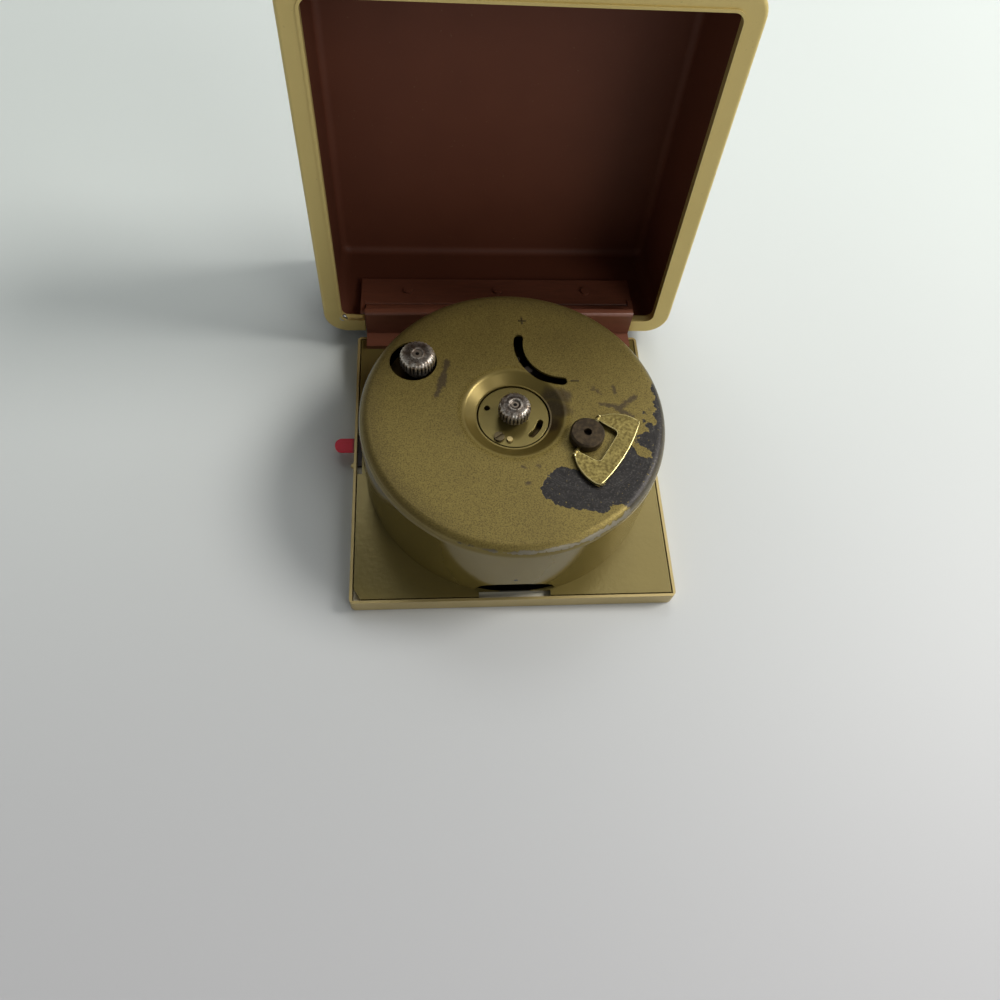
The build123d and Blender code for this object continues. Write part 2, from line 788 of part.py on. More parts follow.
with BuildPart() as alarm_hand:
    hand(alarm_hand_length, alarm_hand_width, alarm_hand_low, alarm_pipe + press_gap, alarm_hand_angle)
save(alarm_hand, "alarm_hand")

alarm_knob_high = can_top + alarm_knob_rise
with BuildPart() as alarm_arbor:
    band(alarm_place, alarm_arbor_radius, alarm_high - motion_disc, alarm_knob_high - knob_dimple)
    turn = bearing(alarm_place, (0, 0))
    low = alarm_high - motion_disc
    gear(alarm_place, alarm_pinion_teeth, alarm_pinion_radius, turn, low, alarm_high)
save(alarm_arbor, "alarm_arbor")

with BuildPart() as alarm_set_knob:
    low = alarm_knob_high - alarm_knob_height
    bore = alarm_arbor_radius + press_gap
    knob(alarm_place, alarm_knob_radius, alarm_knurls, low, alarm_knob_high, bore)
save(alarm_set_knob, "alarm_set_knob")

# Barrel arbor, with the ratchet wheel and the hub of the key
hub_low = can_top + key_hub_lift
hub_high = hub_low + key_hub_height
wing_axis_z = can_top + wing_lift + wing_thickness / 2
ratchet_low = rear_plate_high + free_gap
with BuildPart() as barrel_arbor:
    band(key_place, barrel_arbor_radius, front_plate_low, hub_high - key_bore_depth)
save(barrel_arbor, "barrel_arbor")

with BuildPart() as ratchet_wheel:
    points = []
    for tooth in range(ratchet_teeth):
        face = click_angle + tooth * 360 / ratchet_teeth
        points.append(polar(key_place, ratchet_root, face))
        points.append(polar(key_place, ratchet_radius, face))
    outline(points, ratchet_low, ratchet_low + ratchet_thickness)
    bore = barrel_arbor_radius + press_gap
    band(key_place, bore, ratchet_low, ratchet_low + ratchet_thickness, mode=Mode.SUBTRACT)
save(ratchet_wheel, "ratchet_wheel")

with BuildPart() as winding_key_hub:
    band(key_place, key_hub_radius, hub_low, hub_high)
    chamfer(winding_key_hub.faces().sort_by(Axis.Z)[-1].edges(), key_hub_edge)
    bore_low = hub_high - key_bore_depth
    band(key_place, key_bore_radius, bore_low, hub_high, mode=Mode.SUBTRACT)
    band(key_place, barrel_arbor_radius + press_gap, hub_low, bore_low, mode=Mode.SUBTRACT)
    wing_line = (cos(radians(wing_angle)), sin(radians(wing_angle)), 0)
    wing_side = (sin(radians(wing_angle)), -cos(radians(wing_angle)), 0)
    for way in (-1, 1):
        toward = (way * wing_line[0], way * wing_line[1], 0)
        start = key_hub_radius - wing_pin_depth - seat_gap
        with BuildSketch(Plane(origin=(*key_place, wing_axis_z), z_dir=toward).offset(start)):
            Circle(wing_pin_radius + run_gap)
        extrude(amount=wing_pin_depth + overrun, mode=Mode.SUBTRACT)
save(winding_key_hub, "winding_key_hub")

# Wing of the key: a bail with a window round the hub, on two pins along its inner edge
wing_plane = Plane(origin=(*key_place, wing_axis_z - wing_thickness / 2), x_dir=wing_line, z_dir=(0, 0, 1))
with BuildPart() as key_wing:
    with BuildSketch(wing_plane):
        with BuildLine():
            Polyline(
                (-wing_inner_half, 0),
                (-wing_window_half, 0),
                (-wing_window_half, -wing_window_height),
                (wing_window_half, -wing_window_height),
                (wing_window_half, 0),
                (wing_inner_half, 0),
            )
            for way in (-1, 1):
                ThreePointArc(
                    (way * wing_inner_half, 0),
                    (way * wing_side_half, -wing_side_height),
                    (way * wing_outer_half, -wing_height),
                )
            ThreePointArc(
                (wing_outer_half, -wing_height),
                (0, -wing_height - wing_bulge),
                (-wing_outer_half, -wing_height),
            )
        make_face()
    extrude(amount=wing_thickness)
    corners = key_wing.edges().filter_by(Axis.Z).sort_by(Axis((*key_place, 0), wing_side))
    fillet(corners[-2:], wing_round)
    fillet(corners[-4:-2], wing_window_round)
    for way in (-1, 1):
        toward = (way * wing_line[0], way * wing_line[1], 0)
        start = key_hub_radius - wing_pin_depth
        with BuildSketch(Plane(origin=(*key_place, wing_axis_z), z_dir=toward).offset(start)):
            Circle(wing_pin_radius)
        extrude(amount=wing_window_half - start)
        with BuildSketch(Plane(origin=(*key_place, wing_axis_z), z_dir=toward).offset(wing_window_half)):
            Circle(wing_end_radius)
        extrude(amount=wing_inner_half - wing_window_half)
save(key_wing, "key_wing")

# Spring click, screwed to the rear plate, with its tip in a tooth of the ratchet
click_root = ratchet_radius - click_bite
click_tip = polar(key_place, click_root, click_angle - degrees(click_width / click_root))
click_way = click_angle - click_slant
click_end = polar(click_tip, click_length, click_way)
with BuildPart() as spring_click:
    with BuildSketch(Plane.XY.offset(ratchet_low)):
        middle = polar(click_tip, click_length / 2, click_way)
        with Locations(Location((*middle, 0), (0, 0, click_way))):
            Rectangle(click_length, click_width)
        with Locations(click_end):
            Circle(click_pad_radius)
            Circle(click_screw_radius / 2, mode=Mode.SUBTRACT)
    extrude(amount=ratchet_thickness)
    tube(click_end, click_screw_radius / 2, click_pad_radius, rear_plate_high, ratchet_low)
save(spring_click, "spring_click")

with BuildPart() as click_screw:
    band(click_end, click_screw_radius / 2 - press_gap, rear_plate_high, ratchet_low + ratchet_thickness)
    high = ratchet_low + ratchet_thickness
    band(click_end, click_screw_radius, high, high + fastener_height)
save(click_screw, "click_screw")

# Barrel drum with its teeth, its cover and the mainspring
key_distance = distance((0, 0), key_place)
centre_pinion_radius = key_distance * centre_pinion_teeth / (centre_pinion_teeth + barrel_teeth)
barrel_pitch_radius = key_distance - centre_pinion_radius
drum_radius = barrel_pitch_radius - barrel_inset
barrel_low = front_plate_high + barrel_lift
barrel_high = barrel_low + barrel_height
with BuildPart() as barrel_drum:
    turn = gap_turn(key_place, (0, 0), barrel_teeth)
    gear(key_place, barrel_teeth, barrel_pitch_radius, turn, barrel_low, barrel_low + barrel_flange)
    band(key_place, drum_radius, barrel_low, barrel_high)
    inside = drum_radius - barrel_wall
    band(key_place, inside, barrel_low + barrel_floor, barrel_high, mode=Mode.SUBTRACT)
    bore = barrel_arbor_radius + run_gap
    band(key_place, bore, barrel_low, barrel_high, mode=Mode.SUBTRACT)
    with BuildSketch(Plane.XY.offset(front_plate_high + end_shake)):
        with Locations(key_place):
            Circle(bore + pipe_wall)
            Circle(bore, mode=Mode.SUBTRACT)
    extrude(amount=barrel_low - front_plate_high - end_shake)
save(barrel_drum, "barrel_drum")

with BuildPart() as barrel_cover:
    cover_radius = drum_radius - barrel_wall - seat_gap
    tube(key_place, bore, cover_radius, barrel_high - barrel_floor, barrel_high)
save(barrel_cover, "barrel_cover")

with BuildPart() as mainspring:
    low = barrel_low + barrel_floor + seat_gap
    high = barrel_high - barrel_floor - seat_gap
    start = drum_radius - barrel_wall - seat_gap - mainspring_turns * mainspring_pitch - mainspring_strip / 2
    spiral(key_place, start, mainspring_pitch, mainspring_strip, mainspring_turns, low, high)
save(mainspring, "mainspring")

# Centre wheel and pinion on a pipe that grips the centre arbor
centre_pipe = arbor_radius + run_gap + pipe_wall
with BuildPart() as centre_wheel:
    low = front_plate_high + end_shake
    level = front_plate_high + centre_wheel_level
    band((0, 0), centre_pipe, low, level + wheel_disc)
    turn = bearing((0, 0), third_place)
    gear((0, 0), centre_wheel_teeth, centre_wheel_pitch_radius, turn, level, level + wheel_disc)
    turn = bearing((0, 0), key_place)
    high = barrel_low + barrel_flange + pinion_reach
    gear((0, 0), centre_pinion_teeth, centre_pinion_radius, turn, barrel_low - pinion_reach, high)
    band((0, 0), arbor_radius + run_gap, low, level + wheel_disc, mode=Mode.SUBTRACT)
save(centre_wheel, "centre_wheel")

# Third wheel
with BuildPart() as third_wheel:
    train_arbor(third_place)
    level = front_plate_high + third_wheel_level
    turn = bearing(third_place, escape_place)
    gear(third_place, third_wheel_teeth, third_wheel_pitch_radius, turn, level, level + wheel_disc)
    turn = gap_turn(third_place, (0, 0), third_pinion_teeth)
    low = front_plate_high + centre_wheel_level - pinion_reach
    high = front_plate_high + centre_wheel_level + wheel_disc + pinion_reach
    gear(third_place, third_pinion_teeth, third_pinion_radius, turn, low, high)
save(third_wheel, "third_wheel")

# Escape wheel with leaning teeth
with BuildPart() as escape_wheel:
    train_arbor(escape_place)
    pitch = 360 / escape_teeth
    points = []
    for tooth in range(escape_teeth):
        points.append(polar(escape_place, escape_root, tooth * pitch))
        points.append(polar(escape_place, escape_radius, (tooth + escape_lean_share) * pitch))
    level = front_plate_high + escape_level
    outline(points, level, level + wheel_disc)
    turn = gap_turn(escape_place, third_place, escape_pinion_teeth)
    low = front_plate_high + third_wheel_level - pinion_reach
    high = front_plate_high + third_wheel_level + wheel_disc + pinion_reach
    gear(escape_place, escape_pinion_teeth, escape_pinion_radius, turn, low, high)
save(escape_wheel, "escape_wheel")

# Pallet lever: an anchor with two pins over the escape wheel, and a fork towards the balance
pallet_low = front_plate_high + pallet_level
pin_circle = escape_radius + pallet_pin_gap + pallet_pin_radius
fork_length = distance(pallet_place, balance_place) - roller_radius - fork_gap
with BuildPart() as pallet_lever:
    train_arbor(pallet_place)
    pins = [polar(escape_place, pin_circle, pallet_bearing + way * pallet_pin_angle) for way in (-1, 1)]
    with BuildSketch(Plane.XY.offset(pallet_low)):
        with Locations(pallet_place):
            Circle(pallet_hub_radius)
        for pin in pins:
            with Locations(Location((*pallet_place, 0), (0, 0, bearing(pallet_place, pin)))):
                reach = distance(pallet_place, pin) + pallet_pin_radius
                Rectangle(reach, pallet_arm_width, align=(Align.MIN, Align.CENTER))
        with Locations(Location((*pallet_place, 0), (0, 0, pallet_bearing))):
            Rectangle(fork_length, fork_width, align=(Align.MIN, Align.CENTER))
    extrude(amount=pallet_thickness)
    for pin in pins:
        band(pin, pallet_pin_radius, pallet_low - pallet_pin_drop, pallet_low)
save(pallet_lever, "pallet_lever")

# Balance wheel, its staff with the roller, the hairspring and its stud
balance_low = front_plate_high + balance_level
with BuildPart() as balance_wheel:
    tube(balance_place, balance_radius - balance_rim, balance_radius, balance_low, balance_low + balance_height)
    with BuildSketch(Plane.XY.offset(balance_low)):
        with Locations(balance_place):
            Rectangle(2 * balance_radius - balance_rim, balance_arm_width)
            Circle(collet_radius)
            Circle(train_arbor_radius + press_gap, mode=Mode.SUBTRACT)
    extrude(amount=balance_height)
save(balance_wheel, "balance_wheel")

with BuildPart() as balance_staff:
    train_arbor(balance_place)
    band(balance_place, roller_radius, pallet_low, pallet_low + roller_height)
save(balance_staff, "balance_staff")

hairspring_low = rear_plate_low - hairspring_drop
with BuildPart() as hairspring:
    high = hairspring_low + hairspring_height
    spiral(
        balance_place,
        hairspring_inner_radius,
        hairspring_pitch,
        hairspring_strip,
        hairspring_turns,
        hairspring_low,
        high,
    )
    tube(balance_place, train_arbor_radius + press_gap, hairspring_inner_radius, hairspring_low, high)
save(hairspring, "hairspring")

with BuildPart() as hairspring_stud:
    reach = hairspring_inner_radius + hairspring_turns * hairspring_pitch + hairspring_pitch / 2
    place = polar(balance_place, reach + free_gap + stud_radius, slot_start)
    band(place, stud_radius, hairspring_low, rear_plate_low)
save(hairspring_stud, "hairspring_stud")

# Regulator index: a ring round the boss, an arm and a tail that reaches up to the slot
with BuildPart() as regulator_index:
    low = rear_plate_high + free_gap / 2
    slot_middle = slot_start + slot_sweep / 2
    with BuildSketch(Plane.XY.offset(low)):
        with Locations(balance_place):
            Circle(index_boss_radius + run_gap + index_ring)
        with Locations(Location((*balance_place, 0), (0, 0, slot_middle))):
            Rectangle(slot_radius + index_tail / 2, index_arm_width, align=(Align.MIN, Align.CENTER))
        with Locations(balance_place):
            Circle(index_boss_radius + run_gap, mode=Mode.SUBTRACT)
    extrude(amount=index_thickness)
    with BuildSketch(Plane.XY.offset(low)):
        tail = polar(balance_place, slot_radius, slot_middle)
        with Locations(Location((*tail, 0), (0, 0, slot_middle))):
            Rectangle(index_tail, index_arm_width)
    extrude(amount=can_top - can_sheet - free_gap - low)
save(regulator_index, "regulator_index")

# Alarm hammer on its arbor, with the head beside the wall of the can
with BuildPart() as alarm_hammer:
    train_arbor(hammer_place)
    level = front_plate_high + hammer_level
    head = polar(hammer_place, hammer_reach, hammer_angle)
    with BuildSketch(Plane.XY.offset(level)):
        with Locations(Location((*hammer_place, 0), (0, 0, hammer_angle))):
            Rectangle(hammer_reach, hammer_arm_width, align=(Align.MIN, Align.CENTER))
        with Locations(hammer_place):
            Circle(pallet_hub_radius)
    extrude(amount=hammer_arm_height)
    middle = level + hammer_arm_height / 2
    band(head, hammer_head_radius, middle - hammer_head_height / 2, middle + hammer_head_height / 2)
save(alarm_hammer, "alarm_hammer")

# Hinge leaf: foot on the plate behind the can, an upright leaf and a barrel round the pin
leaf_front = bezel_rear + leaf_behind_bezel
with BuildPart() as hinge_leaf:
    with BuildSketch(Plane.YZ):
        foot_front = can_radius + seat_gap + free_gap
        with Locations((foot_front, plate_top)):
            Rectangle(leaf_front + leaf_thickness - foot_front, leaf_foot_height, align=Align.MIN)
        with Locations((leaf_front, plate_top)):
            Rectangle(leaf_thickness, leaf_rise, align=Align.MIN)
        with Locations((leaf_front + leaf_thickness / 2, hinge_z)):
            Rectangle(
                hinge_y - leaf_front - leaf_thickness / 2,
                2 * leaf_web_half,
                align=(Align.MIN, Align.CENTER),
            )
        with Locations((hinge_y, hinge_z)):
            Circle(barrel_round)
            Circle(pin_radius + run_gap, mode=Mode.SUBTRACT)
    extrude(amount=leaf_length / 2, both=True)
    top_edges = hinge_leaf.faces().sort_by(Axis.Z)[-1].edges().filter_by(Axis.X)
    fillet(top_edges, leaf_round)
save(hinge_leaf, "hinge_leaf")

with BuildPart() as leaf_rivets:
    foot_middle = (can_radius + seat_gap + free_gap + leaf_front) / 2
    with BuildSketch(Plane.XY.offset(plate_top + leaf_foot_height)):
        with Locations((0, foot_middle)):
            with GridLocations(leaf_length * rivet_spacing_share, 0, rivet_count, 1):
                Circle(fastener_radius)
    extrude(amount=fastener_height)
save(leaf_rivets, "leaf_rivets")

# Hinge pin
with BuildPart() as hinge_pin:
    with BuildSketch(Plane.YZ):
        with Locations((hinge_y, hinge_z)):
            Circle(pin_radius)
    extrude(amount=hinge_slot / 2 + bracket_ear, both=True)
save(hinge_pin, "hinge_pin")

# Case shell: a deep tray with rounded corners, open at the hinge for the leaf
mouth = case_frame.offset(pin_behind_face - rim_thickness)
with BuildPart() as case_shell:
    with BuildSketch(mouth):
        with Locations((0, case_middle)):
            RectangleRounded(case_width, case_height, case_corner)
    extrude(amount=rim_thickness - case_depth, taper=case_draft)
    fillet(case_shell.faces().filter_by(case_axis).sort_by(case_axis)[0].edges(), case_back_round)
    with BuildSketch(mouth):
        with Locations((0, case_middle)):
            RectangleRounded(case_width - 2 * case_wall, case_height - 2 * case_wall, case_corner - case_wall)
    extrude(amount=rim_thickness + case_wall - case_depth, taper=case_draft, mode=Mode.SUBTRACT)
    fillet(case_shell.faces().filter_by(case_axis).sort_by(case_axis)[1].edges(), case_inner_round)
    with BuildSketch(mouth):
        with Locations((0, case_wall - pin_from_edge)):
            Rectangle(hinge_slot, 2 * (case_wall + seat_gap))
    extrude(amount=rim_thickness - pin_behind_face - barrel_room, mode=Mode.SUBTRACT)
save(case_shell, "case_shell")

# Case rim: a flat frame on the mouth of the shell, with a bead round its opening and a lip inside the shell
with BuildPart() as case_rim:
    with BuildSketch(mouth):
        with Locations((0, case_middle)):
            RectangleRounded(case_width, case_height, case_corner)
    extrude(amount=rim_thickness)
    fillet(case_rim.faces().filter_by(case_axis).sort_by(case_axis)[-1].edges(), rim_round)
    with BuildSketch(mouth.offset(-rim_lip_depth)):
        with Locations((0, case_middle)):
            inset = 2 * (case_wall + seat_gap)
            RectangleRounded(case_width - inset, case_height - inset, case_corner - case_wall)
            inset += 2 * rim_lip
            RectangleRounded(
                case_width - inset, case_height - inset, case_corner - case_wall - rim_lip, mode=Mode.SUBTRACT
            )
        with Locations((0, case_wall - pin_from_edge)):
            Rectangle(bracket_width + 2 * seat_gap, 2 * rim_width, mode=Mode.SUBTRACT)
    extrude(amount=rim_lip_depth)
    with BuildSketch(mouth.offset(rim_thickness)):
        with Locations((0, case_middle)):
            inset = 2 * (rim_width - rim_bead)
            RectangleRounded(case_width - inset, case_height - inset, rim_corner + rim_bead)
    extrude(amount=rim_bead_height)
    with BuildSketch(mouth.offset(-rim_lip_depth)):
        with Locations((0, case_middle)):
            RectangleRounded(case_width - 2 * rim_width, case_height - 2 * rim_width, rim_corner)
        with Locations((0, -pin_from_edge)):
            Rectangle(hinge_slot, 4 * rim_width)
    extrude(amount=rim_lip_depth + rim_thickness + overrun, mode=Mode.SUBTRACT)
save(case_rim, "case_rim")

# Hinge bracket: a ledge that follows the drafted floor of the shell, with an ear at each end for the pin
case_side = Plane(origin=case_frame.origin, x_dir=case_frame.y_dir, z_dir=(1, 0, 0))
bracket_back = barrel_room + bracket_reach


def floor_height(behind_pin):
    # Height of the shell's inner floor, at a depth behind the hinge pin
    behind_mouth = behind_pin + pin_behind_face - rim_thickness
    return case_wall - pin_from_edge + behind_mouth * tan(radians(case_draft))


with BuildPart() as hinge_bracket:
    with BuildSketch(case_side):
        with BuildLine():
            Polyline(
                (floor_height(barrel_room), -barrel_room),
                (bracket_high, -barrel_room),
                (bracket_high, -bracket_back),
                (floor_height(bracket_back), -bracket_back),
                close=True,
            )
        make_face()
    extrude(amount=bracket_width / 2, both=True)
    ledge_edges = hinge_bracket.edges().filter_by(Axis.X).sort_by(Axis.Z)[-2:]
    fillet(ledge_edges, bracket_round)
    for start in (-bracket_width / 2, hinge_slot / 2):
        with BuildSketch(case_side.offset(start)):
            Circle(bracket_ear_radius)
            Rectangle(2 * bracket_ear_radius, barrel_room + bracket_ear, align=(Align.CENTER, Align.MAX))
            Circle(pin_radius + press_gap, mode=Mode.SUBTRACT)
        extrude(amount=bracket_ear)
save(hinge_bracket, "hinge_bracket")

with BuildPart() as bracket_screws:
    ledge_top = Plane(origin=case_frame.origin, x_dir=(1, 0, 0), z_dir=case_frame.y_dir)
    with BuildSketch(ledge_top.offset(bracket_high)):
        with Locations((0, (barrel_room + bracket_back) / 2)):
            with GridLocations(leaf_length * screw_spacing_share, 0, screw_count, 1):
                Circle(fastener_radius)
    extrude(amount=fastener_height)
save(bracket_screws, "bracket_screws")
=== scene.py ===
from math import asin, cos, pi, radians, sin, tan

import bmesh
import bpy
from mathutils import Matrix, Vector

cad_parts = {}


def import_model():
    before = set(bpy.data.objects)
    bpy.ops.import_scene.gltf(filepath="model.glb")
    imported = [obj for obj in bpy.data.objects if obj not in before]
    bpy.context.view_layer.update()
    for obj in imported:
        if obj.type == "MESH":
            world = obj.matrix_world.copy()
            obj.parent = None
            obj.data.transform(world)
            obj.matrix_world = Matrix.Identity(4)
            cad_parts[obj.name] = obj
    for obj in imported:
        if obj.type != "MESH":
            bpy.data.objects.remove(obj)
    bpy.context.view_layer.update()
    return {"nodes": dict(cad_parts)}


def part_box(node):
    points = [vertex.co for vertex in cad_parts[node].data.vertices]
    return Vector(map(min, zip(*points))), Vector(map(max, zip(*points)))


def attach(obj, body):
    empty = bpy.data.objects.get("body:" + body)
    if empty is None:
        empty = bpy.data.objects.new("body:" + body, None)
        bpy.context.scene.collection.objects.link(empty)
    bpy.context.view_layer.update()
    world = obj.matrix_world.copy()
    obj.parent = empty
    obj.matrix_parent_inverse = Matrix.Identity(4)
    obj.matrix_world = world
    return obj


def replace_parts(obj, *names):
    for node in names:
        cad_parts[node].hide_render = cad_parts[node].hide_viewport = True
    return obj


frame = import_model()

# A folding wind-up alarm clock that lies dial down with its case standing open.
# Lengths are millimetres in the part's frame, and mm turns them into metres.
mm = 0.001
nodes = frame["nodes"]


def box_of(name):
    """The lowest and highest corners of a node, in millimetres."""
    return [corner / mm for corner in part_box(name)]


def colour(red, green, blue):
    """A colour written as it looks on screen, with levels from 0 to 255."""

    def linear(level):
        share = level / 255
        return share / 12.92 if share <= 0.04045 else ((share + 0.055) / 1.055) ** 2.4

    return (linear(red), linear(green), linear(blue), 1)


class NodeTree:
    """A tree of shader nodes, with short calls for the nodes that it is made of."""

    def __init__(self, tree):
        self.tree = tree

    def node(self, kind, inputs=(), **settings):
        made = self.tree.nodes.new(kind)
        for name, value in settings.items():
            setattr(made, name, value)
        for socket, value in dict(inputs).items():
            self.put(made.inputs[socket], value)
        return made

    def put(self, socket, value):
        if isinstance(value, bpy.types.NodeSocket):
            self.tree.links.new(value, socket)
        else:
            socket.default_value = value

    def math(self, operation, *values, clamp=False):
        made = self.node("ShaderNodeMath", enumerate(values), operation=operation, use_clamp=clamp)
        return made.outputs[0]

    def plus(self, first, second):
        return self.math("ADD", first, second)

    def minus(self, first, second):
        return self.math("SUBTRACT", first, second)

    def times(self, first, second):
        return self.math("MULTIPLY", first, second)

    def larger(self, first, second):
        return self.math("MAXIMUM", first, second)

    def rest(self, share):
        """What a share leaves of 1."""
        return self.minus(1, share)

    def vector(self, operation, *values):
        made = self.node("ShaderNodeVectorMath", enumerate(values), operation=operation)
        return made.outputs["Vector"]

    def measure(self, operation, *values):
        made = self.node("ShaderNodeVectorMath", enumerate(values), operation=operation)
        return made.outputs["Value"]

    def axes(self, place):
        return self.node("ShaderNodeSeparateXYZ", {0: place}).outputs

    def point(self, *values):
        return self.node("ShaderNodeCombineXYZ", enumerate(values)).outputs[0]

    def fade(self, value, low, high, first=0, second=1):
        """A number that goes smoothly from first, where a value is low, to second, where it is high."""
        inputs = {"Value": value, "From Min": low, "From Max": high, "To Min": first, "To Max": second}
        return self.node("ShaderNodeMapRange", inputs, interpolation_type="SMOOTHSTEP").outputs["Result"]

    def fade_mm(self, length, low, high):
        """0 at a low length, 1 at a high one and smooth between, with the two in millimetres."""
        return self.fade(length, low * mm, high * mm)

    def between(self, share, first, second):
        """A number that goes from first to second."""
        inputs = {"Value": share, "To Min": first, "To Max": second}
        return self.node("ShaderNodeMapRange", inputs).outputs["Result"]

    def mix(self, share, first, second):
        """A colour that goes from first to second."""
        made = self.node("ShaderNodeMix", data_type="RGBA")
        self.put(made.inputs[0], share)
        self.put(made.inputs[6], first)
        self.put(made.inputs[7], second)
        return made.outputs[2]


class Surface(NodeTree):
    """One material, with calls for patterns that are laid out on the object."""

    def __init__(self, name):
        self.material = bpy.data.materials.new(name)
        self.material.use_nodes = True
        super().__init__(self.material.node_tree)
        self.shader = self.tree.nodes["Principled BSDF"]
        self.place = self.node("ShaderNodeTexCoord").outputs["Object"]

    def set(self, name, value):
        self.put(self.shader.inputs[name], value)

    def dress(self, base, roughness, metallic=0, relief=None, depth=0):
        """Sets the colour, the roughness, the share of metal and the relief, and gives the material."""
        self.set("Base Color", base)
        self.set("Roughness", roughness)
        self.set("Metallic", metallic)
        if relief:
            bump = self.node("ShaderNodeBump", {"Height": relief, "Distance": depth * mm})
            self.set("Normal", bump.outputs["Normal"])
        return self.material

    def height(self):
        return self.axes(self.place)["Z"]

    def flat_place(self):
        return self.vector("MULTIPLY", self.place, (1, 1, 0))

    def from_axis(self, centre=(0, 0)):
        """How far a point lies from an upright axis, in metres."""
        return self.measure("DISTANCE", self.flat_place(), Vector((*centre, 0)) * mm)

    def stretched(self, x, y, z):
        """The place with its axes scaled: a pattern runs along the axes that are made small."""
        return self.vector("MULTIPLY", self.place, (x, y, z))

    def noise(self, grain, detail=2.0, place=None):
        """Noise from 0 to 1 whose lumps are about a grain across, in millimetres."""
        inputs = {"Vector": place or self.place, "Scale": 1 / (grain * mm), "Detail": detail}
        return self.node("ShaderNodeTexNoise", inputs).outputs["Fac"]

    def cells(self, grain):
        """Pebbles about a grain across: how far a point lies from the middle of its own."""
        inputs = {"Vector": self.place, "Scale": 1 / (grain * mm)}
        return self.node("ShaderNodeTexVoronoi", inputs).outputs["Distance"]

    def stroke(self, place, start, end, half_width):
        """How far a point lies outside a straight stroke with round ends, in metres."""
        start = Vector((*start, 0)) * mm
        along = Vector((*end, 0)) * mm - start
        offset = self.vector("SUBTRACT", place, start)
        forward = self.measure("DOT_PRODUCT", offset, along)
        share = self.math("DIVIDE", forward, along.length_squared, clamp=True)
        reached = self.node("ShaderNodeVectorMath", {0: along, "Scale": share}, operation="SCALE")
        return self.minus(self.measure("DISTANCE", offset, reached.outputs["Vector"]), half_width * mm)

    def strokes(self, place, table):
        """How far a point lies outside all the strokes of a table."""
        nearest = self.stroke(place, *table[0])
        for row in table[1:]:
            nearest = self.math("MINIMUM", nearest, self.stroke(place, *row))
        return nearest


# The can: its size, the axes of the key and the alarm knob, and the rings in which its paint changes
can_far = box_of("movement_can")[1]
can_top = can_far.z
can_radius = can_far.x
can_edge = 1.9
can_sheet = 0.5
key_place = (12.9, -5.75)
alarm_place = (-17.7, 11.6)
dish_edge = (9.3, 10.2)
dish_gleam = (11, 10)
darker_ring = (22.5, 28.2)

# Wear on the can: strokes, each from a point to a point with half a width
key_wear = (
    ((8.3, -16.0), (13.0, -16.9), 4.1),
    ((12.0, -16.8), (20.5, -14.6), 4.0),
    ((19.0, -15.0), (25.5, -7.5), 3.6),
    ((19.8, -17.2), (25.6, -9.6), 3.0),
    ((25.2, -9.0), (27.8, -1.5), 2.3),
    ((27.6, -2.0), (28.6, 6.5), 1.3),
    ((22.6, -5.6), (25.0, -5.2), 0.8),
    ((24.4, -1.2), (26.6, -2.0), 0.8),
)
kept_paint = (
    ((21.2, -6.6), (23.4, -9.3), 0.75),
    ((23.0, -0.6), (26.0, -2.4), 0.65),
    ((25.4, 1.6), (26.6, 3.2), 0.7),
)
dish_smudge = (
    ((6.6, 4.2), (9.6, 3.2), 1.1),
    ((7.2, 2.4), (8.8, 0.6), 1.5),
    ((6.6, 0.4), (7.0, -2.6), 1.1),
)
small_wear = (
    ((-12.2, 11.4), (-12.7, 8.6), 0.4),
    ((-12.7, 8.6), (-13.3, 6.2), 0.62),
    ((-13.3, 6.2), (-14.4, 3.6), 0.32),
    ((15.4, 5.2), (16.7, 3.9), 0.22),
    ((19.2, 5.6), (19.5, 4.3), 0.16),
    ((16.2, 1.7), (19.1, 1.0), 0.22),
    ((19.4, 0.5), (23.0, 3.1), 0.3),
    ((19.2, 0.6), (22.2, -1.1), 0.3),
    ((3.4, -11.4), (4.0, -11.6), 0.1),
    ((0.8, -11.7), (1.2, -11.9), 0.1),
    ((1.6, -15.0), (1.9, -15.0), 0.16),
    ((25.5, 0.3), (25.6, 0.3), 0.15),
)
wall_speck = (-0.35, -28.6, 10.55)

# Direction of the side that hands have rubbed most
worn_side = (0.8, -0.6, 0)


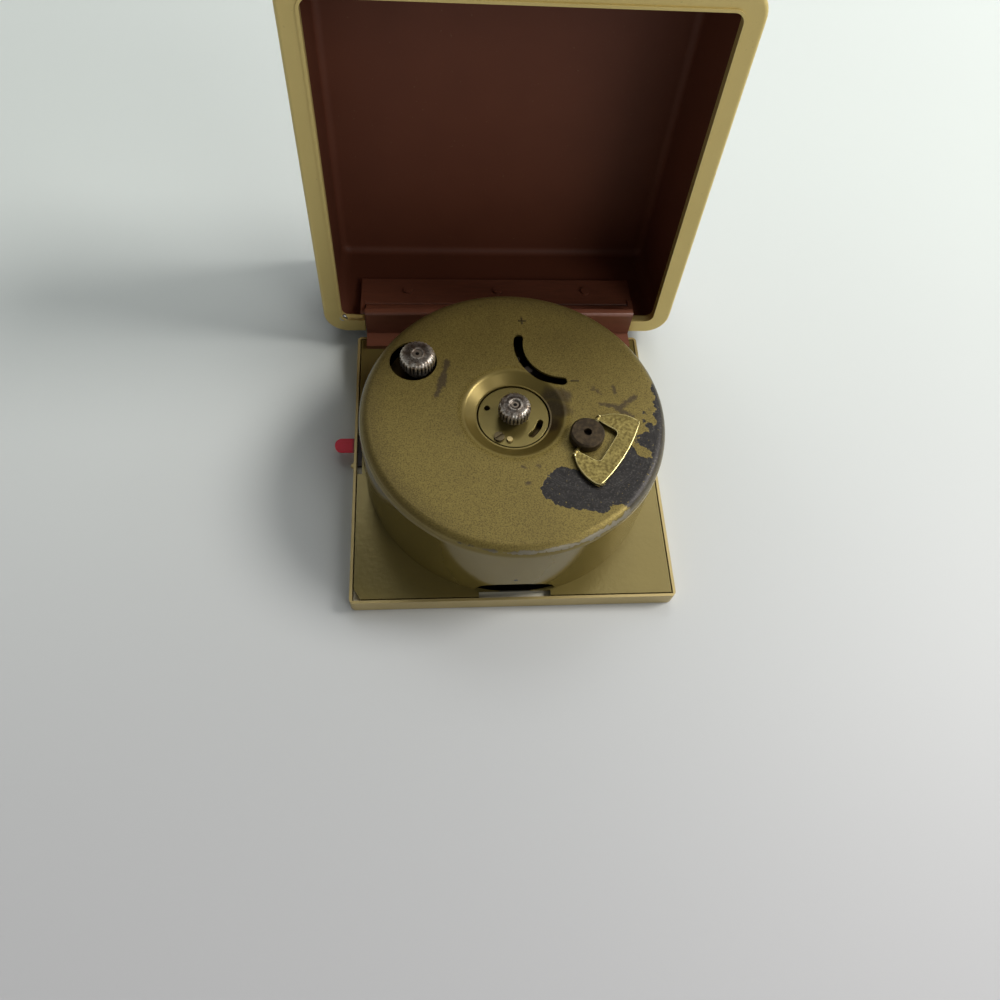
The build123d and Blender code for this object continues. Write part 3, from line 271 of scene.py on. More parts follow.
class CanSurface(Surface):
    """The can's fields, and the coats of paint and metal that are made from them."""

    def __init__(self):
        super().__init__("gilt_can")
        self.flat = self.flat_place()
        self.from_centre = self.from_axis()
        self.level = self.height()
        self.facing = self.measure("DOT_PRODUCT", self.flat, worn_side)
        self.on_top = self.fade_mm(self.level, can_top - 1.2, can_top - 0.1)
        self.rough_top = self.times(self.on_top, self.fade_mm(self.from_centre, *dish_edge))
        self.grain = self.noise(0.24)
        self.grey_flecks = self.fade(self.noise(0.35, 3), 0.52, 0.72)
        self.ragged = self.between(self.noise(2.6, 4), -2.0 * mm, 2.0 * mm)
        self.fine = self.between(self.noise(0.7, 3), -0.6 * mm, 0.6 * mm)

    def bare_top(self):
        """Where the key's wing has rubbed through the paint, with a ragged edge."""
        kept = self.times(self.strokes(self.flat, kept_paint), -1)
        worn = self.larger(self.strokes(self.flat, key_wear), kept)
        worn = self.plus(self.plus(worn, self.ragged), self.fine)
        return self.times(self.fade_mm(worn, 0.12, -0.12), self.on_top)

    def bare_edge(self):
        """Where the rounded edge of the can is rubbed, more on the side that hands touch."""
        ring = self.minus((can_radius - 0.6) * mm, self.from_centre)
        low = self.minus((can_top - 0.9) * mm, self.level)
        exposed = self.fade(self.facing, -10 * mm, 28 * mm, -0.5 * mm, 0.2 * mm)
        edge = self.minus(self.larger(ring, low), exposed)
        edge = self.plus(edge, self.times(self.fine, 0.7))
        edge = self.plus(edge, self.times(self.ragged, 0.2))
        return self.fade_mm(edge, 0.1, -0.15)

    def smears(self):
        """Where the paint is rubbed thin in small strokes or smudged beside the dish."""
        small = self.plus(self.strokes(self.flat, small_wear), self.fine)
        small = self.plus(small, self.times(self.ragged, 0.3))
        rubbed_thin = self.times(self.fade_mm(small, 0.45, -0.25), 0.85)
        smudge = self.plus(self.strokes(self.flat, dish_smudge), self.times(self.ragged, 0.7))
        smudged = self.times(self.fade_mm(smudge, 0.9, -0.7), 0.8)
        near_top = self.fade_mm(self.level, can_top - 2.4, can_top - 1.6)
        return self.times(self.larger(smudged, rubbed_thin), near_top)

    def paint(self):
        """Gold with broad clouds and dirt, a fine grain on the top, and darker in the top's outer ring
        toward the left and back.
        """
        paint = self.mix(self.noise(9, 3), colour(110, 95, 46), colour(122, 106, 53))
        speckle = self.times(self.fade(self.grain, 0.45, 0.7), self.rough_top)
        paint = self.mix(speckle, paint, colour(132, 116, 60))
        dark_grain = self.times(self.fade(self.grain, 0.5, 0.32), self.rough_top)
        paint = self.mix(dark_grain, paint, colour(96, 82, 39))
        dirt = self.fade(self.noise(14, 4), 0.45, 0.75)
        paint = self.mix(self.times(dirt, 0.25), paint, colour(84, 71, 36))
        # Darker in the top's outer ring, most toward the left and back
        darker_left_back = self.times(self.fade_mm(self.from_centre, *darker_ring), self.on_top)
        darker_left_back = self.times(darker_left_back, self.fade(self.facing, -8 * mm, 16 * mm, 0.5, 0))
        paint = self.mix(darker_left_back, paint, colour(68, 56, 29))
        smear = self.mix(self.grey_flecks, colour(66, 54, 38), colour(84, 72, 54))
        return self.mix(self.smears(), paint, smear)

    def metal(self, scratches, edge_only):
        """Dark metal with grey flecks and scratches, and paler or browner along the edge."""
        metal = self.mix(self.noise(1.3, 4), colour(28, 26, 26), colour(55, 52, 50))
        metal = self.mix(self.times(self.grey_flecks, 0.4), metal, colour(96, 92, 86))
        metal = self.mix(self.times(scratches, 0.16), metal, colour(104, 101, 96))
        # The edge's metal is paler toward the right and front, and browner toward the left and back
        toward_pale_side = self.fade_mm(self.facing, 4, 24)
        edge_metal = self.mix(toward_pale_side, colour(62, 52, 36), colour(146, 138, 118))
        return self.mix(self.times(edge_only, 0.8), metal, edge_metal)

    def inside(self):
        """The unpainted inner face, whose coat is painted near black as shade inside the can."""
        within = self.math("LESS_THAN", self.from_centre, (can_radius - can_sheet / 2) * mm)
        under = self.math("LESS_THAN", self.level, (can_top - can_edge) * mm)
        return self.times(within, under)


def can_paint():
    """Speckled gold paint, smooth on the wall, rubbed to bare metal round the key and along the edge."""
    surface = CanSurface()
    bare_top = surface.bare_top()
    bare_edge = surface.bare_edge()
    flecks = surface.fade(surface.noise(0.55), 0.66, 0.74)
    bare = surface.larger(bare_top, bare_edge)
    bare = surface.times(bare, surface.rest(surface.times(flecks, 0.8)))
    painted = surface.rest(bare)

    # The key's wing has scratched arcs round its own axis
    arcs = surface.point(surface.from_axis(key_place), surface.times(surface.axes(surface.flat)["Y"], 0.02))
    scratches = surface.fade(surface.noise(0.13, 2, arcs), 0.58, 0.7)
    edge_only = surface.times(bare_edge, surface.rest(bare_top))
    coat = surface.mix(bare, surface.paint(), surface.metal(scratches, edge_only))
    speck = surface.measure("DISTANCE", surface.place, Vector(wall_speck) * mm)
    coat = surface.mix(surface.fade_mm(speck, 0.45, 0.3), coat, colour(34, 28, 20))
    # Painted shade: the inner face of the can is coloured near black
    coat = surface.mix(surface.inside(), coat, colour(24, 20, 15))

    # The dish is more metallic than the rest of the paint, and the scratches are smoother than bare metal
    in_dish = surface.times(surface.fade_mm(surface.from_centre, *dish_gleam), 0.2)
    gleam = surface.plus(surface.between(surface.rough_top, 0.35, 0.6), in_dish)
    metallic = surface.larger(gleam, surface.times(bare, 0.75))
    paint_rough = surface.plus(surface.between(surface.rough_top, 0.12, 0.45), in_dish)
    metal_rough = surface.between(scratches, 0.46, 0.32)
    roughness = surface.plus(surface.times(paint_rough, painted), surface.times(metal_rough, bare))
    relief = surface.times(surface.grain, surface.times(painted, surface.rough_top))
    relief = surface.plus(relief, surface.times(bare, -0.6))
    return surface.dress(coat, roughness, metallic, relief, depth=0.018)


def gilt(name, dark, light, roughness, metallic, shade_within=0):
    """Smooth gold lacquer with faint clouds, fine dust and slight orange peel, and painted shade inside a
    radius.
    """
    surface = Surface(name)
    paint = surface.mix(surface.noise(11, 3), dark, light)
    dust = surface.fade(surface.noise(0.5), 0.68, 0.78)
    paint = surface.mix(surface.times(dust, 0.25), paint, colour(96, 82, 44))
    # Painted shade: near black inside the radius, where the can stands over the plate
    if shade_within:
        shaded_under_can = surface.math("LESS_THAN", surface.from_axis(), shade_within * mm)
        paint = surface.mix(shaded_under_can, paint, colour(18, 15, 11))
    rough = surface.between(surface.noise(3, 3), roughness - 0.05, roughness + 0.08)
    return surface.dress(paint, rough, metallic, relief=surface.noise(0.8), depth=0.02)


# The case: its pin, its own directions up the case and out of its mouth, and its sizes
pin_low, pin_high = box_of("hinge_pin")
case_hinge = (pin_low + pin_high) / 2 * mm
case_lean = radians(4.4)
case_up = Vector((0, sin(case_lean), cos(case_lean)))
case_out = Vector((0, -cos(case_lean), sin(case_lean)))
case_width = 2 * box_of("case_shell")[1].x
case_height = 74.5
case_corner = 5.0
case_wall = 2.0
case_depth = 25.0
case_draft = radians(2.0)
pin_from_edge = 3.2
pin_behind_face = 2.6


def inside_case(surface):
    """The faces inside the case, parted from the outer ones by the middle of its drafted wall."""
    offset = surface.vector("SUBTRACT", surface.place, case_hinge)
    across = surface.math("ABSOLUTE", surface.axes(surface.place)["X"])
    up = surface.measure("DOT_PRODUCT", offset, case_up)
    out = surface.measure("DOT_PRODUCT", offset, case_out)
    middle = (case_height / 2 - pin_from_edge) * mm
    beside = surface.math("ABSOLUTE", surface.minus(up, middle))
    behind = surface.minus(pin_behind_face * mm, out)
    narrowing = surface.times(behind, tan(case_draft))
    past_corner = []
    for away, size in ((across, case_width), (beside, case_height)):
        straight = (size / 2 - case_corner) * mm
        past_corner.append(surface.larger(surface.minus(surface.plus(away, narrowing), straight), 0))
    rounded = surface.measure("LENGTH", surface.point(*past_corner))
    within = surface.math("LESS_THAN", rounded, (case_corner - case_wall / 2) * mm)
    above_back = surface.math("LESS_THAN", behind, (case_depth - case_wall / 2) * mm)
    return surface.times(within, above_back)


def case_cover():
    """Grained leathercloth outside, smooth red-brown lacquer inside."""
    surface = Surface("case_brown")
    inside = inside_case(surface)
    clouds = surface.noise(12, 4)
    lacquer = surface.mix(clouds, colour(93, 50, 33), colour(105, 58, 39))
    specks = surface.fade(surface.noise(0.6), 0.7, 0.78)
    lacquer = surface.mix(surface.times(specks, 0.3), lacquer, colour(140, 104, 80))
    pebbles = surface.cells(0.62)
    pores = surface.noise(0.3, 3)
    hide = surface.mix(surface.fade(pebbles, 0.3, 0.8), colour(92, 52, 35), colour(66, 36, 24))
    hide = surface.mix(surface.times(clouds, 0.4), hide, colour(84, 46, 30))
    leather = surface.plus(surface.times(pebbles, -0.8), surface.times(pores, 0.4))
    leather = surface.times(leather, surface.rest(inside))
    peel = surface.times(surface.noise(1.1), surface.times(inside, 0.12))
    relief = surface.plus(leather, peel)
    cover = surface.mix(inside, hide, lacquer)
    surface.set("Specular IOR Level", 0.3)
    return surface.dress(cover, surface.between(inside, 0.5, 0.58), relief=relief, depth=0.09)


def hinge_paint():
    """Brown paint, rubbed lighter in streaks along the hinge."""
    surface = Surface("hinge_brown")
    streaks = surface.noise(0.6, 4, surface.stretched(0.15, 1, 1))
    paint = surface.mix(streaks, colour(96, 55, 39), colour(124, 73, 52))
    return surface.dress(paint, surface.between(streaks, 0.34, 0.5), relief=streaks, depth=0.02)


# Knobs: a fluted band, a domed shoulder above it and a ring round the arbor's end
knob_shoulder = 1.1
knob_band = 1.7
knob_ring = 1.2
flute_depth = 0.3


def worn_steel(name, centre, radius, high):
    """Nickelled steel gone brown and pitted, with dirt on the crown and in the flutes."""
    surface = Surface(name)
    from_axis = surface.from_axis(centre)
    level = surface.height()
    stain = surface.noise(1.0, 5)
    pits = surface.noise(0.32, 4)
    metal = surface.mix(surface.fade(stain, 0.35, 0.7), colour(196, 188, 176), colour(128, 112, 96))
    metal = surface.mix(surface.fade(pits, 0.5, 0.72), metal, colour(58, 47, 39))

    crown = surface.fade_mm(from_axis, 0.86 * radius, 0.6 * radius)
    crown = surface.times(crown, surface.fade_mm(level, high - 0.9, high - 0.4))
    from_ring = surface.math("ABSOLUTE", surface.minus(from_axis, knob_ring * mm))
    ring = surface.fade_mm(from_ring, 0.24, 0.12)
    crown = surface.times(crown, surface.between(ring, 0.85, 0.3))
    crown_dirt = surface.times(crown, surface.between(pits, 0.6, 1.2))
    metal = surface.mix(crown_dirt, metal, colour(50, 40, 34))

    groove = surface.fade_mm(from_axis, radius - 0.05, radius - flute_depth * 0.7)
    below_dome = surface.math("LESS_THAN", level, (high - knob_shoulder) * mm)
    above_collar = surface.math("GREATER_THAN", level, (high - knob_shoulder - knob_band) * mm)
    groove = surface.times(groove, surface.times(below_dome, above_collar))
    metal = surface.mix(surface.times(groove, 0.85), metal, colour(30, 24, 20))
    return surface.dress(metal, surface.between(pits, 0.24, 0.5), metallic=0.85, relief=pits, depth=0.04)


def plain_steel():
    """Grey steel with fine turning marks."""
    surface = Surface("plain_steel")
    marks = surface.noise(0.2, 3, surface.stretched(1, 1, 0.1))
    metal = surface.mix(marks, colour(150, 150, 150), colour(196, 196, 194))
    return surface.dress(metal, surface.between(marks, 0.24, 0.4), metallic=0.95, relief=marks, depth=0.01)


def oxide_steel():
    """Steel darkened by oil and age, and dark as painted shade where the regulator's index shows in its
    slot.
    """
    surface = Surface("oxide_steel")
    stain = surface.noise(0.6, 4)
    metal = surface.mix(stain, colour(40, 35, 31), colour(72, 63, 55))
    return surface.dress(metal, surface.between(stain, 0.35, 0.55), metallic=0.8, relief=stain, depth=0.02)


def arbor_steel(name, centre):
    """Browned steel of an arbor, with a dark disc at the centre of its end, painted as shade in the bore
    round it.
    """
    surface = Surface(name)
    stain = surface.noise(0.5, 4)
    metal = surface.mix(stain, colour(104, 92, 80), colour(146, 134, 120))
    # Painted shade: a near-black disc at the centre of the arbor's end
    painted_bore_shade = surface.fade_mm(surface.from_axis(centre), 0.42, 0.3)
    metal = surface.mix(painted_bore_shade, metal, colour(16, 13, 11))
    return surface.dress(metal, surface.between(stain, 0.34, 0.5), metallic=0.8, relief=stain, depth=0.02)


def blue_steel():
    """Tempered spring steel, blue with straw-coloured patches."""
    surface = Surface("spring_steel")
    temper = surface.mix(surface.noise(4, 3), colour(58, 72, 112), colour(104, 98, 104))
    return surface.dress(temper, surface.between(surface.noise(0.5), 0.22, 0.36), metallic=0.9)


def plain_brass(name, dark, light):
    """Brass of the movement, with brushed lines and a little tarnish."""
    surface = Surface(name)
    lines = surface.noise(0.35, 3, surface.stretched(1, 0.06, 1))
    tarnish = surface.fade(surface.noise(5, 4), 0.5, 0.75)
    metal = surface.mix(lines, dark, light)
    metal = surface.mix(surface.times(tarnish, 0.5), metal, colour(134, 104, 56))
    return surface.dress(metal, surface.between(lines, 0.26, 0.42), metallic=0.9, relief=lines, depth=0.01)


def cast_brass():
    """Brass of the key's wing: a pebbled face worn bright in places."""
    surface = Surface("wing_brass")
    pebble = surface.noise(0.55)
    metal = surface.mix(surface.fade(pebble, 0.3, 0.7), colour(98, 84, 42), colour(142, 127, 72))
    dull = surface.fade(surface.noise(3, 3), 0.45, 0.7)
    metal = surface.mix(surface.times(dull, 0.5), metal, colour(94, 82, 42))
    return surface.dress(metal, surface.between(pebble, 0.42, 0.26), metallic=0.8, relief=pebble, depth=0.06)


def dark_bronze():
    """Darkened brass of the key's hub, with fine circular marks."""
    surface = Surface("dark_bronze")
    marks = surface.noise(0.16, 2, surface.point(surface.from_axis(key_place)))
    stain = surface.noise(0.8, 4)
    metal = surface.mix(surface.fade(stain, 0.35, 0.7), colour(54, 44, 31), colour(82, 68, 48))
    metal = surface.mix(surface.times(marks, 0.4), metal, colour(44, 36, 26))
    relief = surface.plus(marks, stain)
    return surface.dress(metal, surface.between(stain, 0.4, 0.58), metallic=0.75, relief=relief, depth=0.03)


# The alarm stop is painted dark as shade inward of the bezel's side: where the shade starts, and where it is
# full
stop_shade = (-31.7, -30.9)


def red_plastic():
    """Satin red of the alarm stop, painted dark as shade where it runs inside the bezel."""
    surface = Surface("red_tab")
    cloud = surface.noise(1.4, 3)
    bright = surface.mix(cloud, colour(236, 14, 54), colour(248, 26, 66))
    within = surface.fade_mm(surface.axes(surface.place)["X"], *stop_shade)
    red = surface.mix(within, bright, colour(38, 14, 14))
    return surface.dress(red, surface.between(cloud, 0.4, 0.55), relief=surface.noise(0.5), depth=0.03)


def clear_crystal():
    """Clear acrylic with a few hairlines."""
    surface = Surface("crystal")
    hairs = surface.fade(surface.noise(0.25, 2, surface.stretched(1, 0.02, 1)), 0.66, 0.74)
    surface.set("Alpha", surface.between(hairs, 0.06, 0.16))
    surface.set("IOR", 1.49)
    return surface.dress(colour(206, 212, 212), surface.between(hairs, 0.04, 0.16))


def dial_card():
    """Cream card with a fine tooth and a little age."""
    surface = Surface("dial_cream")
    tooth = surface.noise(0.3)
    card = surface.mix(surface.noise(10, 4), colour(222, 214, 190), colour(236, 230, 210))
    card = surface.mix(surface.times(tooth, 0.12), card, colour(190, 176, 140))
    return surface.dress(card, surface.between(tooth, 0.5, 0.62), relief=tooth, depth=0.01)


def black_paint():
    """Satin black of the hands and figures."""
    surface = Surface("hand_black")
    cloud = surface.noise(1.2, 3)
    paint = surface.mix(cloud, colour(22, 22, 24), colour(40, 39, 40))
    return surface.dress(paint, surface.between(cloud, 0.3, 0.45))


def painted_red():
    """Red lacquer of the alarm hand."""
    surface = Surface("alarm_red")
    cloud = surface.noise(1.0)
    paint = surface.mix(cloud, colour(168, 30, 26), colour(190, 44, 36))
    return surface.dress(paint, surface.between(cloud, 0.3, 0.42))


def lume_paint():
    """Aged luminous paint, pale green and grainy."""
    surface = Surface("lume")
    grain = surface.noise(0.25, 3)
    paint = surface.mix(grain, colour(176, 190, 140), colour(206, 214, 170))
    return surface.dress(paint, surface.between(grain, 0.6, 0.8), relief=grain, depth=0.03)


# Every node gets a material, and brass is the one for those that no list names
steel = plain_steel()
brass = plain_brass("brass", colour(150, 122, 64), colour(184, 154, 90))
# Painted shade: the movement plates' brass is darkened nearly to black, as they show only in shade through
# holes
shaded_plate_brass = plain_brass("shaded_plate_brass", colour(46, 37, 20), colour(66, 53, 30))
aged_brass = plain_brass("aged_brass", colour(70, 60, 42), colour(104, 92, 66))
# Painted highlight: pale brass for the rounded edges of the key's wing
wing_edge_highlight = plain_brass("wing_edge_highlight", colour(214, 196, 128), colour(236, 222, 160))
oxide_and_shade = oxide_steel()
spring = blue_steel()
black = black_paint()
hinge_brown = hinge_paint()
bezel_gilt = gilt("gilt_bezel", colour(168, 148, 94), colour(184, 164, 112), roughness=0.3, metallic=0.45)
rim_gilt = gilt("rim_gilt", colour(196, 174, 106), colour(206, 185, 118), roughness=0.36, metallic=0.35)
bush_gilt = gilt("gilt_bush", colour(106, 93, 48), colour(122, 108, 58), roughness=0.3, metallic=0.65)
mark_gilt = gilt("gilt_marks", colour(66, 55, 28), colour(82, 70, 38), roughness=0.4, metallic=0.5)
plate_gilt = gilt(
    "gilt_plate", colour(118, 104, 57), colour(132, 117, 66),
    roughness=0.2, metallic=0.45, shade_within=can_radius - can_sheet,
)

dressed = {
    "bezel": bezel_gilt,
    "back_plate": plate_gilt,
    "movement_can": can_paint(),
    "bush_disc": bush_gilt,
    "bush_stud": bezel_gilt,
    "crystal": clear_crystal(),
    "dial": dial_card(),
    "dial_spacer": bezel_gilt,
    "minute_hand": black,
    "hour_hand": black,
    "alarm_hand": painted_red(),
    "alarm_stop_slide": red_plastic(),
    "centre_arbor": arbor_steel("centre_arbor_steel", (0, 0)),
    "alarm_arbor": arbor_steel("alarm_arbor_steel", alarm_place),
    "barrel_arbor": oxide_and_shade,
    "regulator_index": oxide_and_shade,
    "rear_movement_plate": shaded_plate_brass,
    "front_movement_plate": shaded_plate_brass,
    "winding_key_hub": dark_bronze(),
    "key_wing": cast_brass(),
    "mainspring": spring,
    "hairspring": spring,
    "hinge_leaf": hinge_brown,
    "hinge_bracket": hinge_brown,
    "bracket_screws": hinge_brown,
    "leaf_rivets": hinge_brown,
    "case_shell": case_cover(),
    "case_rim": rim_gilt,
}
steel_nodes = (
    "time_set_knob", "alarm_set_knob", "bush_screw", "ratchet_wheel", "spring_click", "click_screw",
    "pallet_lever", "balance_staff", "hairspring_stud", "alarm_hammer", "hinge_pin", "pillar_nuts",
)
dressed.update(dict.fromkeys(steel_nodes, steel))
for name, node in nodes.items():
    node.data.materials.clear()
    node.data.materials.append(dressed.get(name, brass))

# Edges that catch the light, each with the width of its rounding
soft_edges = {
    "key_wing": 0.17,
    "winding_key_hub": 0.12,
    "bush_disc": 0.08,
    "bush_stud": 0.15,
    "bezel": 0.12,
    "hinge_leaf": 0.15,
    "alarm_stop_slide": 0.12,
}
weld_reach = 0.001
node_edge_angle = 35
piece_edge_angle = 30


def round_edges(piece, width, angle):
    """Rounds the edges that turn by more than an angle, in degrees."""
    rounding = piece.modifiers.new("rounding", "BEVEL")
    rounding.width = width * mm
    rounding.segments = 3
    rounding.limit_method = "ANGLE"
    rounding.angle_limit = radians(angle)
    rounding.harden_normals = True
    return rounding


for name, width in soft_edges.items():
    weld = nodes[name].modifiers.new("weld", "WELD")
    weld.merge_threshold = weld_reach * mm
    rounding = round_edges(nodes[name], width, node_edge_angle)
    if name == "key_wing":
        # The wing's rounding gets pale brass as a painted highlight, and its rounding is wider than its
        # shortest edges
        nodes[name].data.materials.append(wing_edge_highlight)
        rounding.material = 1
        rounding.use_clamp_overlap = False


# Small pieces that the scene adds
def place_piece(name, shape, material, body, rounding=0):
    shape.materials.append(material)
    made = bpy.data.objects.new(name, shape)
    bpy.context.scene.collection.objects.link(made)
    if rounding:
        round_edges(made, rounding, piece_edge_angle)
    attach(made, body)
    return made


def to_shape(build, name, matrix=Matrix.Identity(4)):
    build.transform(matrix)
    bmesh.ops.recalc_face_normals(build, faces=build.faces)
    shape = bpy.data.meshes.new(name)
    build.to_mesh(shape)
    build.free()
    return shape


def smooth(shape, angle):
    """Shades a shape smooth, with sharp edges where it turns by more than an angle, in degrees."""
    shape.shade_smooth()
    shape.set_sharp_from_angle(angle=radians(angle))
    return shape


def upright(centre):
    return Matrix.Translation(Vector((*centre, 0)) * mm)


def rectangle(left, front, right, back):
    return [(left, front), (right, front), (right, back), (left, back)]


def arc(radius, start, end, steps):
    angles = [start + (end - start) * step / steps for step in range(steps + 1)]
    return [(radius * cos(angle), radius * sin(angle)) for angle in angles]


def circle(radius, steps):
    return arc(radius, 0, 2 * pi * (steps - 1) / steps, steps - 1)


def ring_at(build, points, height):
    return [build.verts.new((x * mm, y * mm, height * mm)) for x, y in points]


def join_rings(build, rings):
    """Faces between each ring of points and the next."""
    for lower, upper in zip(rings, rings[1:]):
        for step in range(len(lower)):
            after = (step + 1) % len(lower)
            build.faces.new((lower[step], lower[after], upper[after], upper[step]))


def prism(build, points, low, high):
    """A closed block between two heights, over a polygon."""
    lower = ring_at(build, points, low)
    upper = ring_at(build, points, high)
    build.faces.new(reversed(lower))
    build.faces.new(upper)
    join_rings(build, [lower, upper])


round_steps = 32
turned_crease = 40


def turned(name, profile, place, out):
    """A shape turned about an axis, from a profile of radii and heights."""
    build = bmesh.new()
    rings = [ring_at(build, circle(radius, round_steps), height) for radius, height in profile]
    join_rings(build, rings)
    build.faces.new(rings[0])
    build.faces.new(rings[-1])
    turn = Vector(out).to_track_quat("Z", "Y").to_matrix().to_4x4()
    return smooth(to_shape(build, name, Matrix.Translation(place) @ turn), turned_crease)


# Dial, seen from below: figures, minute track and luminous spots
dial_front = box_of("dial")[0].z
figure_size = 5.6
figure_radius = 18.6
print_depth = 0.04
track_radius = 23.6
track_gap = 0.5
track_line = 0.12
track_steps = 120
spot_radius = 0.55
spot_depth = 0.12
spot_steps = 16
spot_ring = track_radius + 1.5

# Marks of the minute track: half a width and a length
hour_mark = (0.28, 1.5)
minute_mark = (0.11, 0.8)


def on_dial(hour, radius):
    angle = radians(30 * hour)
    return Vector((sin(angle) * radius, -cos(angle) * radius))


def dial_figures():
    build = bmesh.new()
    for hour in range(1, 13):
        letters = bpy.data.curves.new("figure", "FONT")
        letters.body = str(hour)
        letters.size = figure_size * mm
        letters.align_x = "CENTER"
        letters.align_y = "CENTER"
        letters.extrude = print_depth / 2 * mm
        holder = bpy.data.objects.new("figure", letters)
        shape = bpy.data.meshes.new_from_object(holder)
        centre = Vector((*on_dial(hour, figure_radius), dial_front - print_depth / 2)) * mm
        shape.transform(Matrix.Translation(centre) @ Matrix.Rotation(pi, 4, "X"))
        build.from_mesh(shape)
        bpy.data.objects.remove(holder)
        bpy.data.curves.remove(letters)
        bpy.data.meshes.remove(shape)
    return to_shape(build, "dial_figures")


def minute_track():
    build = bmesh.new()
    low = dial_front - print_depth
    for minute in range(60):
        half_width, length = minute_mark if minute % 5 else hour_mark
        turn = Matrix.Rotation(radians(6 * minute), 2)
        mark = rectangle(track_radius - length, -half_width, track_radius, half_width)
        prism(build, [turn @ Vector(corner) for corner in mark], low, dial_front)
    for radius in (track_radius, track_radius + track_gap):
        for step in range(track_steps):
            start, end = (2 * pi * turn / track_steps for turn in (step, step + 1))
            line = arc(radius, start, end, 1) + arc(radius + track_line, end, start, 1)
            prism(build, line, low, dial_front)
    return to_shape(build, "minute_track")


def luminous_spots():
    build = bmesh.new()
    for hour in range(12):
        centre = on_dial(hour, spot_ring)
        spot = [centre + Vector(point) for point in circle(spot_radius, spot_steps)]
        prism(build, spot, dial_front - spot_depth, dial_front)
    return to_shape(build, "luminous_spots")


place_piece("dial_figures", dial_figures(), black, "clock")
place_piece("minute_track", minute_track(), black, "clock")
place_piece("luminous_spots", luminous_spots(), lume_paint(), "clock", rounding=0.06)

# Plus and minus beside the ends of the regulator's slot
plus_place = (2.8, 21.3)
minus_place = (12.0, 6.9)
bar_half_length = 0.8
bar_half_width = 0.15
bar_rise = 0.12


def pace_marks():
    build = bmesh.new()
    level_bar = (bar_half_length, bar_half_width)
    upright_bar = (bar_half_width, bar_half_length)
    for (x, y), bars in ((plus_place, (level_bar, upright_bar)), (minus_place, (level_bar,))):
        for half_x, half_y in bars:
            bar = rectangle(x - half_x, y - half_y, x + half_x, y + half_y)
            prism(build, bar, can_top - bar_rise, can_top + bar_rise)
    return to_shape(build, "pace_marks")


place_piece("pace_marks", pace_marks(), mark_gilt, "clock", rounding=0.05)

# Slotted screw on the bush disc, in place of its plain solid
bush_top = box_of("bush_disc")[1].z
screw_place = (-2.9, -4.5)
screw_radius = 1.0
screw_rise = 0.5
screw_turn = radians(35)
slot_width = 0.3
slot_floor = 0.2
half_steps = 14


def slotted_screw(name):
    """A screw head: a disc that carries two halves, with the slot between them."""
    build = bmesh.new()
    floor = bush_top + slot_floor
    prism(build, circle(screw_radius, round_steps), bush_top, floor)
    start = asin(slot_width / 2 / screw_radius)
    for half in (0, pi):
        outline = arc(screw_radius, half + start, half + pi - start, half_steps)
        prism(build, outline, floor, bush_top + screw_rise)
    return to_shape(build, name, upright(screw_place) @ Matrix.Rotation(screw_turn, 4, "Z"))


screw_shape = slotted_screw("bush_screw_head")
screw = place_piece("bush_screw_head", screw_shape, aged_brass, "clock", rounding=0.07)
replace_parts(screw, "bush_screw")

# Fluted knobs with a domed shoulder, in place of their plain solids.
# A share is of the knob's radius, and a drop is measured down from its top.
collar_share = 0.74
crown_share = 0.66
crown_drop = 0.08
dome_rise = 0.92 * knob_shoulder
dome_steps = 6
flute_run_out = 0.25
flute_steps = 8
band_lip = 0.02
ring_half = 0.12
ring_foot = 0.3
ring_foot_drop = 0.1
bore_edge = 0.1
bore_edge_drop = 0.14
bore_drop = 0.2
knob_crease = 50


def knob_profile(radius, low, high, bore):
    """Points round a knob's section: radius, height, and how much of the flutes' depth shows there."""
    dome = high - knob_shoulder
    band_low = dome - knob_band
    collar = radius * collar_share
    crown = radius * crown_share
    profile = [
        (bore, low, 0),
        (collar, low, 0),
        (collar, band_low, 0),
        (radius - flute_depth, band_low + band_lip, 0),
        (radius, band_low + flute_run_out, 1),
        (radius, dome, 1),
    ]
    for step in range(1, dome_steps):
        turn = pi / 2 * step / dome_steps
        away = crown + (radius - crown) * cos(turn)
        profile.append((away, dome + dome_rise * sin(turn), 1 - step / (dome_steps - 1)))
    profile += [
        (crown, high - crown_drop, 0),
        (knob_ring + ring_foot, high - ring_foot_drop, 0),
        (knob_ring + ring_half, high, 0),
        (knob_ring - ring_half, high, 0),
        (bore + bore_edge, high - bore_edge_drop, 0),
        (bore, high - bore_drop, 0),
    ]
    return profile


def fluted_knob(name, profile, centre, flutes):
    """A knob round its bore: a smooth collar, a fluted band, a dome and a raised ring."""
    build = bmesh.new()
    steps = flutes * flute_steps
    rings = []
    for radius, height, share in profile:
        outline = []
        for step in range(steps):
            angle = 2 * pi * step / steps
            notch = ((1 + cos(flutes * angle)) / 2) ** 2 * flute_depth * share
            outline.append(((radius - notch) * cos(angle), (radius - notch) * sin(angle)))
        rings.append(ring_at(build, outline, height))
    join_rings(build, rings + rings[:1])
    return smooth(to_shape(build, name, upright(centre)), knob_crease)


# Each knob's node, body, axis, bore and number of flutes
for name, body, centre, bore, flutes in (
    ("time_set_knob", "minute", (0, 0), 0.7, 26),
    ("alarm_set_knob", "alarm_setting", alarm_place, 0.9, 28),
):
    lowest, highest = box_of(name)
    radius = (highest.x - lowest.x) / 2
    profile = knob_profile(radius, lowest.z, highest.z, bore)
    knob_shape = fluted_knob(name + "_fluted", profile, centre, flutes)
    knob_steel = worn_steel(name + "_steel", centre, radius, highest.z)
    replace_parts(place_piece(name + "_fluted", knob_shape, knob_steel, body), name)

# Gold pip on the left side of the bezel, and an eyelet in the corner of the case's rim
pip_place = Vector((box_of("bezel")[0].x, 0.9, 1.5)) * mm
pip_profile = ((0.8, -0.1), (0.8, 0.2), (0.68, 0.32), (0.5, 0.62), (0.28, 0.78), (0.05, 0.84))
pip_shape = turned("bezel_pip", pip_profile, pip_place, (-1, 0, 0))
place_piece("bezel_pip", pip_shape, bezel_gilt, "clock")

